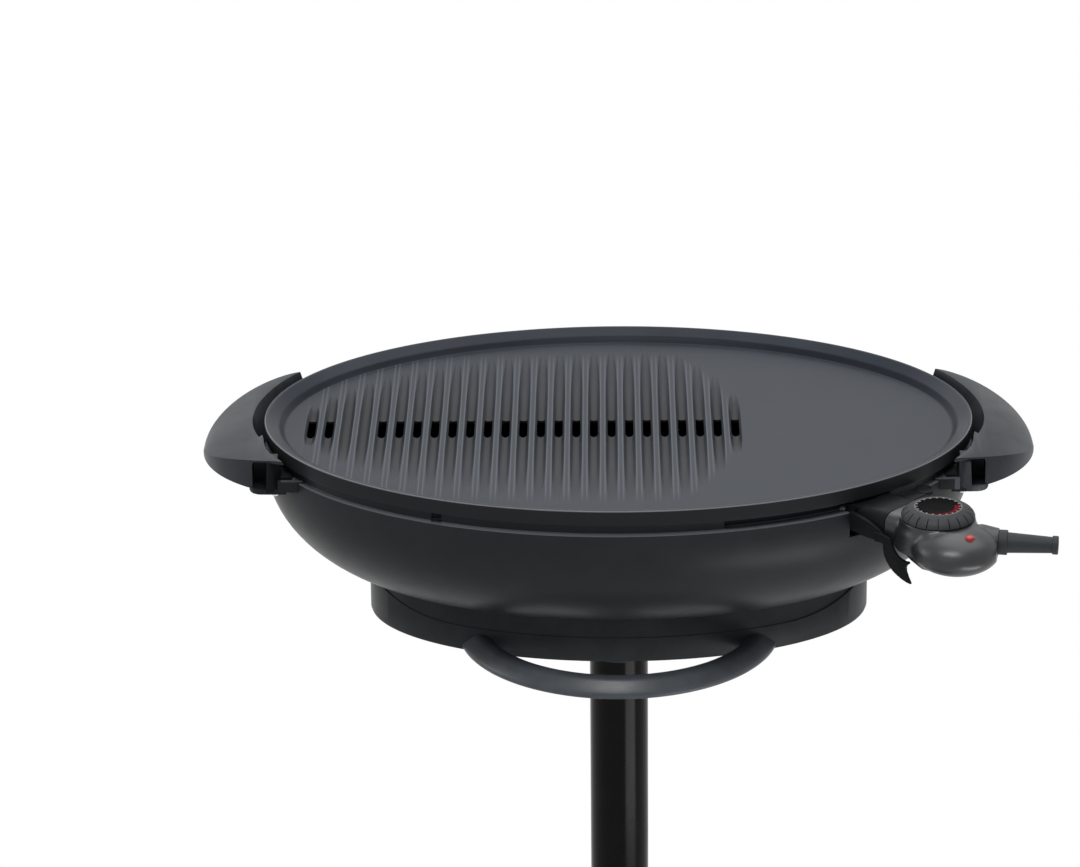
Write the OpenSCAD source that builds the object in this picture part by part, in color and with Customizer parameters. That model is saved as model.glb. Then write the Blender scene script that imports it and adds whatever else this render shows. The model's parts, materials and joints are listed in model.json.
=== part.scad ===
// Pedestal electric grill: oval cooking plate in a bowl with two side handles, a plug-in
// thermostat controller, and a stand with an oval head, a front rail, a two-part pole and a base.
// X is the long axis of the plate, -Y is the front, Z is up. The origin is on the floor under
// the pole. Heights named *_z are below (negative) or above the top of the plate's rim.

/* [Cooking plate] */
// Length of the cooking plate along X
plate_len = 500; // [460:1:540]
// Width of the cooking plate along Y
plate_wid = 361; // [340:1:400]
// Height of the top of the plate's rim above the floor
grill_h = 860; // [760:5:960]
// Height of the plate's outer wall
plate_wall_h = 11; // [9:0.5:14]
// Depth of the cooking surface below the rim
dish_depth = 8.5; // [6:0.5:10]
// Thickness of the plate's floor
plate_t = 4.5; // [4:0.5:6]
// Width of the flat lip on top of the rim
lip_w = 2; // [1:0.5:4]
// Width of the outer slope inside the lip
slope_w = 8; // [5:0.5:10]
// Drop of the outer slope inside the lip
slope_d = 4.4; // [2:0.1:5.5]
// Width of the steep cove between the slope and the cooking surface
cove_w = 5; // [3:0.5:8]

/* [Grooves and drain slots] */
// Spacing of the grooves
groove_pitch = 12.5; // [11:0.1:14]
// Number of grooves
groove_count = 25; // [15:1:25]
// Distance from the plate's left end to the first groove
groove_inset = 33; // [31:0.5:50]
// Width of a groove
groove_w = 8; // [6:0.5:9]
// Depth of a groove at its drain slot
groove_d = 2.5; // [1:0.1:3]
// Width of a drain slot
slot_w = 6; // [4:0.5:7]
// Length of a drain slot
slot_len = 32; // [20:1:40]
// Radius of the arc that ends the grooved area on the right
groove_arc_r = 270; // [230:5:320]
// Run of the grooved area past its last groove
groove_tail = 7; // [4:1:15]
// Plain margin between the grooves and the cove
groove_margin = 10; // [6:1:20]

/* [Bowl] */
// Drop from the plate's rim to the bowl's rim
bowl_drop = 18.3; // [16:0.1:24]
// Depth of the bowl below the plate's rim
bowl_depth = 123; // [110:1:128]
// Depth at which the bowl's wall starts to curve in
bowl_straight = 30; // [26:1:40]
// Width of the curve of the bowl's wall
bowl_curve_w = 140; // [125:1:140]
// Thickness of the bowl's wall
bowl_t = 2.5; // [2:0.1:4]
// Distance of the upstand, which carries the plate, from the bowl's edge
upstand_in = 4; // [3:0.5:6]
// Thickness of the upstand
upstand_t = 2.5; // [2:0.1:4]
// Width of the small notch in the upstand
notch_w = 7; // [4:0.5:12]
// Place of the small notch along X
notch_x = -128.7; // [-150:0.5:-100]
// Where the upstand stops on the front right
upstand_end = 71; // [60:1:90]
// Height of the rubber feet under the bowl
bowl_foot_h = 5; // [3:0.5:7]
// Radius of the rubber feet under the bowl
bowl_foot_r = 9; // [6:0.5:11]

/* [Plug-in controller] */
// Set-in of the plug's face from the plate's right end
plug_in_x = 58; // [55:0.1:61]
// Set-in of the plug's face from the plate's front
plug_in_y = 34.8; // [28:0.1:37]
// Direction of the plug's axis
plug_turn = -40; // [-45:1:-36]
// Depth of the pins and probe below the plate's rim
plug_depth = 24.5; // [20:0.5:30]
// Depth of the controller's middle below the plate's rim
body_depth = 27; // [24:0.5:32]
// Distance from the middle to each terminal pin
pin_space = 9; // [8:0.5:9.5]
// Radius of a terminal pin
pin_r = 2.42; // [2:0.02:2.6]
// Radius of the temperature probe
probe_r = 3.2; // [2.6:0.1:3.6]
// Length of the temperature probe past the plug's face
probe_len = 100; // [90:1:110]
// Half width of the controller's flat front
face_hw = 19.5; // [18:0.5:20]
// Radius of the controller's rounded end
body_r = 30; // [28:0.5:32]
// Distance of the rounded end's centre from the face
body_s = 50.7; // [48:0.1:54]
// Side shift of the rounded end's centre
body_shift = -7.5; // [-9:0.1:-5]
// Half height of the rounded end
body_hh = 16; // [14:0.5:17]
// Wall of the controller's shells
shell_t = 2.2; // [1.6:0.1:3]
// Distance of the dial's axis from the face
dial_s = 30; // [28:0.5:32]
// Radius of the dial at its foot
dial_r = 25; // [22:0.5:26]
// Radius of the dial's top face
dial_top_r = 16.5; // [14:0.5:18]
// Height of the dial
dial_h = 7.7; // [6:0.1:9]
// Radius of the dial's shaft
shaft_r = 3; // [2.5:0.1:4]
// Length of the tapered strain relief
relief_len = 30; // [24:1:36]
// Radius of the strain relief at its collar
relief_r1 = 7; // [6:0.1:8]
// Radius of the strain relief at its end
relief_r2 = 5.5; // [5:0.1:6]
// Radius of the hole for the cord
cord_hole_r = 3.3; // [2.5:0.1:3.6]

/* [Terminal hood] */
// Half width of the hood
hood_hw = 17.5; // [17:0.1:18]
// Wall of the hood
hood_t = 2.5; // [2:0.1:3]
// Depth of the hood's side walls below the rim
hood_depth = 33; // [30:0.5:35]

/* [Handles] */
// Reach of a handle past the plate's end
handle_reach = 44; // [38:0.5:55]
// Half length of the oval that shapes a handle's outer edge
handle_a = 94; // [85:1:105]
// Half width of the oval that shapes a handle's outer edge
handle_b = 93; // [85:1:100]
// Distance from the middle to a handle's cut ends
handle_end_y = 88; // [84:0.5:90]
// Depth of a handle's flat underside below the rim
handle_depth = 25; // [23:0.5:28]
// Drop of a handle's top at its inner edge
handle_top_drop = 0.5; // [0:0.1:2]
// Gap between the plate and a handle
handle_gap = 5; // [4:0.5:7]
// Extra gap along the finger recess
finger_gap = 4; // [2:0.5:6]
// Half length of the finger recess
finger_hl = 43; // [35:1:48]
// Thickness of the skin over the brackets
handle_skin = 3.5; // [2.5:0.1:5]
// Depth of the screw bosses below the rim
boss_depth = 32; // [28:0.5:36]

/* [Stand head] */
// Set-in of the stand head's ends from the plate's ends
head_in_x = 72; // [68:1:85]
// Set-in of the stand head's front and back from the plate's
head_in_y = 77.5; // [72:0.5:85]
// Depth of the stand head's underside below the rim
head_depth = 146.5; // [144:0.5:152]
// Wall of the stand head
head_t = 3; // [2.5:0.1:4]
// Thickness of the stand head's floor
head_floor_t = 2.5; // [2:0.1:3.5]
// Depth of the wall's top at the ends
wave_high = 112.5; // [112:0.5:114]
// Depth of the wall's top along the front
wave_low = 128; // [124:0.5:132]
// Inward step of the inner wall
inner_step = 12; // [9:0.5:16]
// Radius of the rail's middle line
rail_r = 104; // [98:1:110]
// Set-back of the rail's centre from the stand head's front
rail_back = 48; // [40:1:55]
// Depth of the rail's middle below the rim
rail_depth = 139; // [138:0.5:141]
// Width of the rail's section
rail_w = 19; // [15:0.5:21]
// Height of the rail's section
rail_h = 12; // [10:0.5:13]
// Angle from straight ahead to each end of the rail
rail_half_turn = 77; // [74:1:79]

/* [Pole] */
// Outer diameter of the pole
pole_d = 42; // [38:0.5:46]
// Wall of the pole
pole_t = 1.5; // [1.2:0.1:2.5]
// Height of the seam between the two tubes above the floor
seam_h = 390; // [300:5:450]
// Length of the inner sleeve that joins the tubes
sleeve_len = 100; // [60:5:140]
// Wall of the sockets at the pole's ends
socket_t = 3.5; // [2.5:0.1:5]
// Length of the upper socket
socket_len = 34; // [25:1:38]
// Radius of the sockets' flanges
flange_r = 52; // [46:1:60]
// Thickness of the sockets' flanges
flange_t = 3; // [2:0.5:5]

/* [Base] */
// Radius of the base
base_r = 220; // [200:5:250]
// Height of the dome's edge above the floor
base_edge_h = 16; // [12:1:22]
// Height of the dome's middle above the floor
base_h = 44; // [38:1:60]
// Wall of the dome
base_t = 3; // [2:0.1:4]
// Thickness of the ballast plate
ballast_t = 6; // [4:0.5:8]
// Height of the rubber feet
foot_h = 4; // [3:0.5:6]
// Radius of the rubber feet
foot_r = 14; // [10:1:18]
// Height of the lower socket
base_socket_h = 60; // [45:1:90]

/* [Fits] */
// Radial clearance of a part that turns or slides in its hole
run_fit = 0.08; // [0.03:0.01:0.1]
// Radial clearance of a part fixed in its hole
fix_fit = 0.05; // [0.02:0.01:0.1]
// Gap between parts that lie close together
gap = 0.4; // [0.3:0.05:0.6]

/* [Hidden] */
$fn = 64;
big = 1000;

// Plate, upstand and bowl share one oval, given by its two half lengths.
plate_a = plate_len / 2;
plate_b = plate_wid / 2;
plate_under_z = -dish_depth - plate_t;
floor_in = lip_w + slope_w + cove_w;
bowl_rim_z = -bowl_drop;
bowl_core = plate_a - bowl_curve_w;
bowl_curve_d = bowl_depth - bowl_straight;
oval_step = plate_a - plate_b;
handle_tip = plate_a + handle_reach;
groove_start = -plate_a + groove_inset;
groove_end = groove_start + (groove_count - 1) * groove_pitch + groove_tail;
head_a = plate_a - head_in_x;
head_b = plate_b - head_in_y;
rail_cy = rail_back - head_b;
plug_x = plate_a - plug_in_x;
plug_y = plug_in_y - plate_b;
bowl_floor_z = -bowl_depth + bowl_t;

// The stand head stands under the bowl's feet.
head_under_z = -head_depth;
head_floor_z = head_under_z + head_floor_t;
seat_top_z = -bowl_depth - bowl_foot_h;
bowl_foot_x = 80;
bowl_foot_y = 22;

// Plug frame: x outward along the plug's axis from its face, y to the far side.
plug_z = -plug_depth;
block_s = [-64, -30];
block_hw = 15.5;
block_low_z = plug_z - 8;
pin_out = -5;
nose_s = [-13, 8];
nose_hw = 14;
nose_hh = 5.5;
nose_bore = pin_out - nose_s[0] + 2;
guide_end = -probe_len - 6;
guide_t = 1.2;
window_hw = hood_hw + 0.8;
window_z = -hood_depth - 4;
seam_z = -26;
dial_seat_z = -12;
dial_foot_z = dial_seat_z + gap;
relief_s = 71.3;
relief_side = 17.7;
relief_turn = 31;
relief_z = -25;
collar_r = 8.5;
collar_len = 6;
bead_r = relief_r2 + 0.85;
bead_len = 4;
pilot = [65.5, -13, -13.3];
pilot_r = 4;
controller_posts = [[14, -15], [14, 15], [52, -28], [42, 16]];
post_r = 3.2;
screw_r = 1.5;

// Handles and brackets.
handle_x0 = handle_tip - handle_a;
bracket_x = [plate_a - 17.5, plate_a - 7];
bracket_y = [61, 82];
boss_c = [plate_a - 10, 71];
boss_r = 9;
boss_run = 10;
ledge_t = 4;
ledge_x = bracket_x[0] - 25;
pocket_x1 = plate_a + 4;
pocket_y0 = 55;

// Stand.
pole_r = pole_d / 2;
pole_bore_r = pole_r - pole_t;
socket_bore_r = pole_r + fix_fit;
socket_r = socket_bore_r + socket_t;
ballast_z = foot_h;
ballast_top = ballast_z + ballast_t;
ballast_r = base_r - 12;

// An oval outline, its solid disc, and a closed solid lofted through ovals [half length,
// half width, height].
module oval(a, b) scale([1, b / a]) circle(r = a);

module oval_disc(a, b, z0, z1) translate([0, 0, z0]) linear_extrude(z1 - z0) oval(a, b);

function oval_ring(a, b, z, n) = [for (i = [0:n - 1]) [a * cos(360 * i / n), b * sin(360 * i / n), z]];

module oval_loft(rings, n = 72) {
    last = len(rings) - 1;
    points = [for (r = rings) each oval_ring(r[0], r[1], r[2], n)];
    sides = [for (k = [0:last - 1]) for (i = [0:n - 1])
        let (j = (i + 1) % n)
        each [[k * n + i, (k + 1) * n + i, k * n + j], [k * n + j, (k + 1) * n + i, (k + 1) * n + j]]];
    polyhedron(points = points, faces = concat(
        [[for (i = [0:n - 1]) i]], sides, [[for (i = [n - 1:-1:0]) last * n + i]]));
}

// A ring of the plate's oval, moved inward.
function inset(d, z) = [plate_a - d, plate_b - d, z];

// Half length of the bowl's oval at a height, for an inward offset of its wall.
function bowl_a(z, t) = bowl_core
    + (bowl_curve_w - t) * sqrt(max(0, 1 - pow((-bowl_straight - z) / (bowl_curve_d - t), 2)));

// A round rod swept through points that never run straight up.
module rod(path, r, n = 10) {
    last = len(path) - 1;
    points = [for (i = [0:last])
        let (d = path[min(i + 1, last)] - path[max(i - 1, 0)],
             t = d / norm(d), s = cross(t, [0, 0, 1]), side = s / norm(s), up = cross(side, t))
        each [for (k = [0:n - 1]) path[i] + r * (cos(360 * k / n) * side + sin(360 * k / n) * up)]];
    sides = [for (i = [0:last - 1]) for (k = [0:n - 1])
        let (j = (k + 1) % n)
        each [[i * n + k, i * n + j, (i + 1) * n + k], [i * n + j, (i + 1) * n + j, (i + 1) * n + k]]];
    polyhedron(points = points, faces = concat(
        [[for (k = [n - 1:-1:0]) k]], sides, [[for (k = [0:n - 1]) last * n + k]]));
}

module at_rim() translate([0, 0, grill_h]) children();

module at_plug() translate([plug_x, plug_y, grill_h]) rotate([0, 0, plug_turn]) children();

module along_plug(s0, s1, y, z, r) translate([s0, y, z]) rotate([0, 90, 0]) cylinder(r = r, h = s1 - s0);

module mirror_y() { children(); mirror([0, 1, 0]) children(); }

// ---- Cooking plate and what is fixed to it ----

function groove_x(i) = groove_start + i * groove_pitch;

// Half length of the groove at x: inside the plate's floor and inside the arc on the right.
function groove_reach(x) = min(
    (plate_b - floor_in - groove_margin) * sqrt(max(0, 1 - pow(x / (plate_a - floor_in - groove_margin), 2))),
    sqrt(max(0, pow(groove_arc_r, 2) - pow(x - groove_end + groove_arc_r, 2))));

// The heating element passes under the third and fourth grooves, so they have no slot.
function has_slot(i) = i != 2 && i != 3;

module groove_cut(i) {
    reach = groove_reach(groove_x(i));
    flat = min(slot_len / 2, reach * 0.6);
    translate([groove_x(i) - groove_w / 2, 0, -dish_depth]) rotate([90, 0, 90]) linear_extrude(groove_w)
        polygon([[-reach, 0], [-flat, -groove_d], [flat, -groove_d], [reach, 0], [reach, 1], [-reach, 1]]);
}

module slot_cut(i) translate([groove_x(i), 0, plate_under_z - 1]) linear_extrude(plate_t + 2) {
    run = slot_len - slot_w;
    square([slot_w, run], center = true);
    for (s = [-1, 1]) translate([0, s * run / 2]) circle(r = slot_w / 2, $fn = 24);
}

module grill_plate() color("dimgray") at_rim() difference() {
    oval_loft([
        inset(upstand_in + upstand_t + 2, plate_under_z), inset(upstand_in + upstand_t + 2, -plate_wall_h),
        inset(0, -plate_wall_h), inset(0, -1), inset(1, 0), inset(lip_w, 0),
        inset(lip_w + slope_w, -slope_d), inset(floor_in - 1, -dish_depth + 0.6), inset(floor_in, -dish_depth)
    ]);
    for (i = [0:groove_count - 1]) {
        groove_cut(i);
        if (has_slot(i)) slot_cut(i);
    }
}

element_r = 4;
element_z = plate_under_z - element_r - 0.05;
element_in = 64;
element_a = plate_a - element_in;
element_b = plate_b - element_in;
element_turns = [-14, -66];
function element_point(t) = [element_a * cos(t), element_b * sin(t), element_z];

// A point of the plug frame in the frame of the plate's rim.
function plug_point(s, y, z) = [
    plug_x + s * cos(plug_turn) - y * sin(plug_turn), plug_y + s * sin(plug_turn) + y * cos(plug_turn), z];

module heating_element() color("gray") at_rim() rod(concat(
    [plug_point(block_s[0] - 0.2, pin_space, plug_z), plug_point(block_s[0] - 4, pin_space, plug_z),
     plug_point(block_s[0] - 12, pin_space + 3, plug_z + 3)],
    [for (t = [element_turns[0]:7:element_turns[1] + 360]) element_point(t)],
    [plug_point(block_s[0] - 12, -pin_space - 3, plug_z + 3), plug_point(block_s[0] - 4, -pin_space, plug_z),
     plug_point(block_s[0] - 0.2, -pin_space, plug_z)]
), element_r);

// Straps that hold the element up against the plate.
module element_clamps() color("silver") at_rim() for (t = [45, 135, 180, 225]) translate(element_point(t))
    rotate([0, 0, atan2(element_a * sin(t), element_b * cos(t))]) difference() {
        translate([-12, -5, -element_r - 1.5]) cube([24, 10, plate_under_z - element_z + element_r + 1.5]);
        translate([-element_r - gap, -6, -element_r - gap])
            cube([2 * (element_r + gap), 12, plate_under_z - element_z + element_r + 2]);
    }

module terminal_block() color("lightgray") at_plug() difference() {
    union() {
        translate([block_s[0], -block_hw, block_low_z])
            cube([block_s[1] - block_s[0], 2 * block_hw, plug_z - block_low_z + 6.3]);
        translate([block_s[0] + 4, -8, plug_z]) cube([16, 16, plate_under_z - plug_z]);
    }
    along_plug(block_s[0] - 1, block_s[1] + 1, 0, plug_z, probe_r + run_fit);
    for (s = [-1, 1]) along_plug(block_s[0] + 12, block_s[1] + 1, s * pin_space, plug_z, pin_r + fix_fit);
}

module terminal_pins() color("silver") at_plug() for (s = [-1, 1]) {
    along_plug(block_s[0] + 12, pin_out - 1, s * pin_space, plug_z, pin_r);
    translate([pin_out - 1, s * pin_space, plug_z]) rotate([0, 90, 0]) cylinder(r1 = pin_r, r2 = pin_r - 0.8, h = 1);
}

// Tube behind the block that leads the probe under the plate.
module probe_guide() color("silver") at_plug() difference() {
    along_plug(guide_end, block_s[0], 0, plug_z, probe_r + run_fit + guide_t);
    along_plug(guide_end + guide_t, block_s[0] + 1, 0, plug_z, probe_r + run_fit);
}

hood_roof_s = -38;
claw_out = 3.4;
claw = [[-8, -24], [1, -29.4], [9, -34.6], [14.5, -39.5], [22, -43.5], [22.5, -48.5], [26, -56],
        [14, -52.5], [7, -48], [1, -40], [-8, -hood_depth]];

module claw_blade() translate([0, -hood_hw - claw_out, 0]) rotate([90, 0, 0]) linear_extrude(hood_t) polygon(claw);

module terminal_hood() color("#26282b") at_plug() difference() {
    union() {
        translate([hood_roof_s, -hood_hw, plate_under_z - hood_t])
            cube([-hood_roof_s, 2 * hood_hw, hood_t]);
        for (s = [-1, 1]) translate([-29, s * (hood_hw - hood_t / 2) - hood_t / 2, -hood_depth])
            cube([29, hood_t, hood_depth + plate_under_z]);
        mirror_y() translate([-8, -hood_hw - claw_out - hood_t, -hood_depth])
            cube([7, claw_out + hood_t + 1, 9]);
        mirror_y() claw_blade();
        hull() {
            translate([-9, hood_hw - 2, plate_under_z - hood_t]) cylinder(r = 6, h = hood_t, $fn = 32);
            translate([-9, 38, plate_under_z - hood_t]) cylinder(r = 7, h = hood_t, $fn = 32);
        }
    }
    for (s = [-1, 1]) translate([-34, s * 12, plate_under_z - hood_t - 1])
        cylinder(r = screw_r + fix_fit, h = hood_t + 2);
}

module hood_screws() color("silver") at_plug() for (s = [-1, 1]) translate([-34, s * 12, 0]) {
    translate([0, 0, plate_under_z - hood_t]) cylinder(r = screw_r, h = hood_t);
    translate([0, 0, plate_under_z - hood_t - 1.6]) cylinder(r = 2.8, h = 1.6);
}

// ---- Bowl and what is fixed to it ----

module bowl_solid() oval_loft(concat(
    [for (t = [90:-7.5:0]) let (z = -bowl_straight - bowl_curve_d * sin(t), a = bowl_a(z, 0)) [a, a - oval_step, z]],
    [inset(0, bowl_rim_z - 1), inset(1, bowl_rim_z), inset(upstand_in, bowl_rim_z),
     inset(upstand_in, -plate_wall_h), inset(upstand_in + upstand_t, -plate_wall_h),
     inset(upstand_in + upstand_t, bowl_rim_z - 3), inset(bowl_t, bowl_rim_z - 6)],
    [for (t = [0:7.5:90]) let (z = -bowl_straight - (bowl_curve_d - bowl_t) * sin(t), a = bowl_a(z, bowl_t))
        [a, a - oval_step, z]]));

// The screws that hold the brackets pass through the bowl's wall along X.
boss_screw_z = -boss_depth + 3.5;
boss_screw_head_r = 2.5;
boss_screw_x = (plate_a - bowl_t) * sqrt(1 - pow((boss_c[1] + boss_screw_head_r) / (plate_b - bowl_t), 2)) - 0.1;
boss_screw_end = boss_c[0] - 4;

module bowl() color("#2d2f32") at_rim() difference() {
    bowl_solid();
    translate([0, 0, -grill_h]) at_plug() translate([-75, -window_hw, window_z])
        cube([120, 2 * window_hw, -window_z]);
    translate([notch_x - notch_w / 2, -plate_b, bowl_rim_z]) cube([notch_w, plate_b / 2, bowl_drop]);
    translate([upstand_end, -plate_b, bowl_rim_z]) cube([110, 95, bowl_drop]);
    for (sx = [-1, 1], sy = [-1, 1]) translate([0, sy * boss_c[1], boss_screw_z]) rotate([0, sx * 90, 0])
        translate([0, 0, boss_screw_x - 5]) cylinder(r = screw_r + fix_fit, h = 20);
}

module bowl_feet() color("black") at_rim() for (sx = [-1, 1], sy = [-1, 1])
    translate([sx * bowl_foot_x, sy * bowl_foot_y, seat_top_z]) cylinder(r = bowl_foot_r, h = bowl_foot_h);

pan_z = -62;
pan_t = 1;
pan_rise = 16;
pan_slot = [groove_start - 5, groove_end + 2, slot_len * 0.75];
pan_edge = plate_a - bowl_a(pan_z + pan_rise - pan_t, bowl_t) + 0.3;
module reflector_pan() color("silver") at_rim() difference() {
    oval_loft([
        inset(60, pan_z - pan_t), inset(22, pan_z + 11 - pan_t), inset(pan_edge, pan_z + pan_rise - pan_t),
        inset(pan_edge, pan_z + pan_rise), inset(22, pan_z + 11), inset(60, pan_z)
    ]);
    translate([pan_slot[0], -pan_slot[2], pan_z - 20]) cube([pan_slot[1] - pan_slot[0], 2 * pan_slot[2], 60]);
}

tray_top_z = -92;
tray_t = 1;
function tray_a(z) = bowl_a(z, bowl_t + 4);
module drip_tray() color("silver") at_rim() oval_loft(concat(
    [for (z = [bowl_floor_z, bowl_floor_z + 6, bowl_floor_z + 14, tray_top_z])
        [tray_a(z) - 4, tray_a(z) - 4 - oval_step, z]],
    [for (z = [tray_top_z, bowl_floor_z + 14, bowl_floor_z + 6, bowl_floor_z + tray_t])
        [tray_a(z) - 4 - tray_t, tray_a(z) - 4 - tray_t - oval_step, z]]));

// Height of a handle's top at a distance from the middle.
function handle_top(x) = let (t = (x - bracket_x[0]) / (handle_tip - bracket_x[0]))
    -handle_depth + (handle_depth - handle_top_drop) * pow(1 - pow(min(1, max(0, t)), 1.4), 0.55);

// The brackets reach up to the underside of the handle's skin.
bracket_top_z = handle_top(bracket_x[1]) - handle_skin;
screw_x = boss_c[0] - 1.5;
screw_bite = 2.5;

// The right handle; the left one is its mirror image.
module handle_solid() difference() {
    intersection() {
        translate([handle_x0, 0, -handle_depth]) linear_extrude(handle_depth) oval(handle_a, handle_b);
        translate([0, handle_end_y, 0]) rotate([90, 0, 0]) linear_extrude(2 * handle_end_y) polygon(concat(
            [[bracket_x[0] - 10, -handle_depth], [bracket_x[0] - 10, -handle_top_drop]],
            [for (k = [0:16]) let (x = bracket_x[0] + (handle_tip - bracket_x[0]) * sin(90 * k / 16))
                [x, handle_top(x)]]));
    }
    oval_disc(plate_a + handle_gap, plate_b + handle_gap, -handle_depth - 1, 1);
    intersection() {
        oval_disc(plate_a + handle_gap + finger_gap, plate_b + handle_gap + finger_gap, -handle_depth - 1, 1);
        translate([0, -finger_hl, -handle_depth - 1]) cube([big, 2 * finger_hl, handle_depth + 2]);
    }
    mirror_y() translate([0, pocket_y0 + 60, 0]) rotate([90, 0, 0]) linear_extrude(60) polygon(concat(
        [[pocket_x1, -handle_depth - 1], [bracket_x[0] - 12, -handle_depth - 1], [bracket_x[0] - 12, bracket_top_z],
         [bracket_x[1], bracket_top_z]],
        [for (x = [bracket_x[1] + 2:2:pocket_x1]) [x, handle_top(x) - handle_skin]], [[pocket_x1, -10]]));
    mirror_y() translate([screw_x, boss_c[1], bracket_top_z - 1]) cylinder(r = screw_r + fix_fit, h = 1 + screw_bite);
}

module handle_left() color("#2b2d30") at_rim() mirror([1, 0, 0]) handle_solid();
module handle_right() color("#2b2d30") at_rim() handle_solid();

// Two brackets of one handle: a web under the handle, a ledge over the bowl's rim, and a boss.
module bracket_solid() mirror_y() difference() {
    union() {
        difference() {
            translate([bracket_x[0] - 8, bracket_y[0], -handle_depth])
                cube([bracket_x[1] - bracket_x[0] + 8, bracket_y[1] - bracket_y[0], handle_depth + bracket_top_z]);
            oval_disc(plate_a + handle_gap, plate_b + handle_gap, bowl_rim_z + ledge_t, 0);
        }
        translate([ledge_x, bracket_y[0] + 6, bowl_rim_z])
            cube([bracket_x[1] - ledge_x, bracket_y[1] - bracket_y[0] - 6, ledge_t]);
        translate([boss_c[0], boss_c[1], -boss_depth]) cylinder(r = boss_r, h = boss_depth - handle_depth + 2);
        translate([0, 0, -boss_depth]) linear_extrude(boss_depth - handle_depth) {
            translate([boss_c[0] + boss_run, boss_c[1]]) circle(r = boss_r);
            translate([boss_c[0], boss_c[1] - boss_r]) square([boss_run, 2 * boss_r]);
        }
    }
    oval_disc(plate_a - upstand_in + gap, plate_b - upstand_in + gap, -handle_depth - 20, 0);
    oval_disc(plate_a + gap, plate_b + gap, -handle_depth - 20, bowl_rim_z);
    translate([screw_x, boss_c[1], -boss_depth - 1]) cylinder(r = screw_r + fix_fit, h = boss_depth + 1);
    translate([screw_x, boss_c[1], -boss_depth - 1]) cylinder(r = 3.4, h = 2.5);
    translate([boss_c[0] - 20, boss_c[1], boss_screw_z]) rotate([0, 90, 0])
        cylinder(r = screw_r + fix_fit, h = boss_screw_end - boss_c[0] + 20.2);
}

module bracket_left() color("#232527") at_rim() mirror([1, 0, 0]) bracket_solid();
module bracket_right() color("#232527") at_rim() bracket_solid();

module handle_screws() color("silver") at_rim() for (sx = [-1, 1], sy = [-1, 1])
    translate([sx * screw_x, sy * boss_c[1], 0]) {
        translate([0, 0, -boss_depth + 1.5]) cylinder(r = screw_r, h = boss_depth - 1.5 + bracket_top_z + screw_bite);
        translate([0, 0, -boss_depth + 0.3]) cylinder(r = 3, h = 1.2);
    }

module bracket_screws() color("silver") at_rim() for (sx = [-1, 1], sy = [-1, 1])
    translate([0, sy * boss_c[1], boss_screw_z]) rotate([0, sx * 90, 0]) {
        translate([0, 0, boss_screw_x - 1]) cylinder(r = screw_r, h = boss_screw_end - boss_screw_x + 1);
        translate([0, 0, boss_screw_x - 1.8]) cylinder(r = boss_screw_head_r, h = 1.8);
    }

// ---- Plug-in controller ----

// Outer form of the controller, drawn in by a wall: a flat front, a rounded end and the dial's seat.
module controller_form(t) hull() {
    translate([t, -face_hw + t + 4, seam_z + 10 - t]) rotate([0, 90, 0]) cylinder(r = 4, h = 3, $fn = 32);
    translate([t, face_hw - t - 4, seam_z + 10 - t]) rotate([0, 90, 0]) cylinder(r = 4, h = 3, $fn = 32);
    translate([t, -face_hw + t, seam_z - 5 + t]) cube([3, 2 * (face_hw - t), 4]);
    translate([body_s, body_shift, -body_depth]) scale([1, 1, (body_hh - t) / (body_r - t)])
        sphere(r = body_r - t, $fn = 32);
    translate([dial_s, 0, dial_seat_z - 2 - t]) cylinder(r = dial_r - 1 - t, h = 2, $fn = 32);
    translate([relief_s - 9, relief_side - 6, relief_z]) sphere(r = collar_r + 1 - t, $fn = 32);
}

module relief_axis(s0, s1, r0, r1) translate([relief_s, relief_side, relief_z]) rotate([0, 0, relief_turn])
    translate([s0, 0, 0]) rotate([0, 90, 0]) cylinder(r1 = r0, r2 = r1, h = s1 - s0);

// What both shells leave free: the contact block, the strain relief's neck and the screws.
module controller_cuts() {
    translate([-1, -nose_hw - 0.1, plug_z - nose_hh - 0.1])
        cube([nose_s[1] + 1.1, 2 * nose_hw + 0.2, 2 * nose_hh + 0.2]);
    relief_axis(-12, 12, 5.5, 5.5);
    relief_axis(-collar_len / 2, 14, collar_r + 0.1, collar_r + 0.1);
    for (p = controller_posts) translate([p[0], p[1], seam_z - 40]) cylinder(r = screw_r + fix_fit, h = 46);
}

module controller_posts_in(z0, z1) for (p = controller_posts)
    translate([p[0], p[1], z0]) cylinder(r = post_r, h = z1 - z0);

module controller_upper_shell() color("#303236") at_plug() difference() {
    intersection() {
        union() {
            difference() {
                controller_form(0);
                controller_form(shell_t);
            }
            intersection() {
                controller_form(0.5);
                controller_posts_in(seam_z, seam_z + 20);
            }
        }
        translate([-50, -100, seam_z]) cube([250, 200, 60]);
    }
    controller_cuts();
    translate([dial_s, 0, seam_z]) cylinder(r = shaft_r + run_fit, h = 60);
    translate([dial_s, 0, dial_seat_z]) cylinder(r = dial_r + 1, h = 20);
    translate(pilot + [0, 0, -6]) cylinder(r = pilot_r + fix_fit, h = 12);
}

module controller_lower_shell() color("#2c2e31") at_plug() difference() {
    intersection() {
        union() {
            difference() {
                controller_form(0);
                controller_form(shell_t);
            }
            intersection() {
                controller_form(0.5);
                controller_posts_in(seam_z - 30, seam_z);
            }
        }
        translate([-50, -100, seam_z - 60]) cube([250, 200, 60]);
    }
    controller_cuts();
    for (p = controller_posts) translate([p[0], p[1], seam_z - 40]) cylinder(r = 2.8, h = 40 - screw_seat);
}

screw_seat = 5;

module controller_screws() color("silver") at_plug() for (p = controller_posts) translate([p[0], p[1], 0]) {
    translate([0, 0, seam_z - screw_seat - 1]) cylinder(r = screw_r, h = screw_seat + 6.5);
    translate([0, 0, seam_z - screw_seat - 1.8]) cylinder(r = 2.6, h = 1.8);
}

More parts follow.
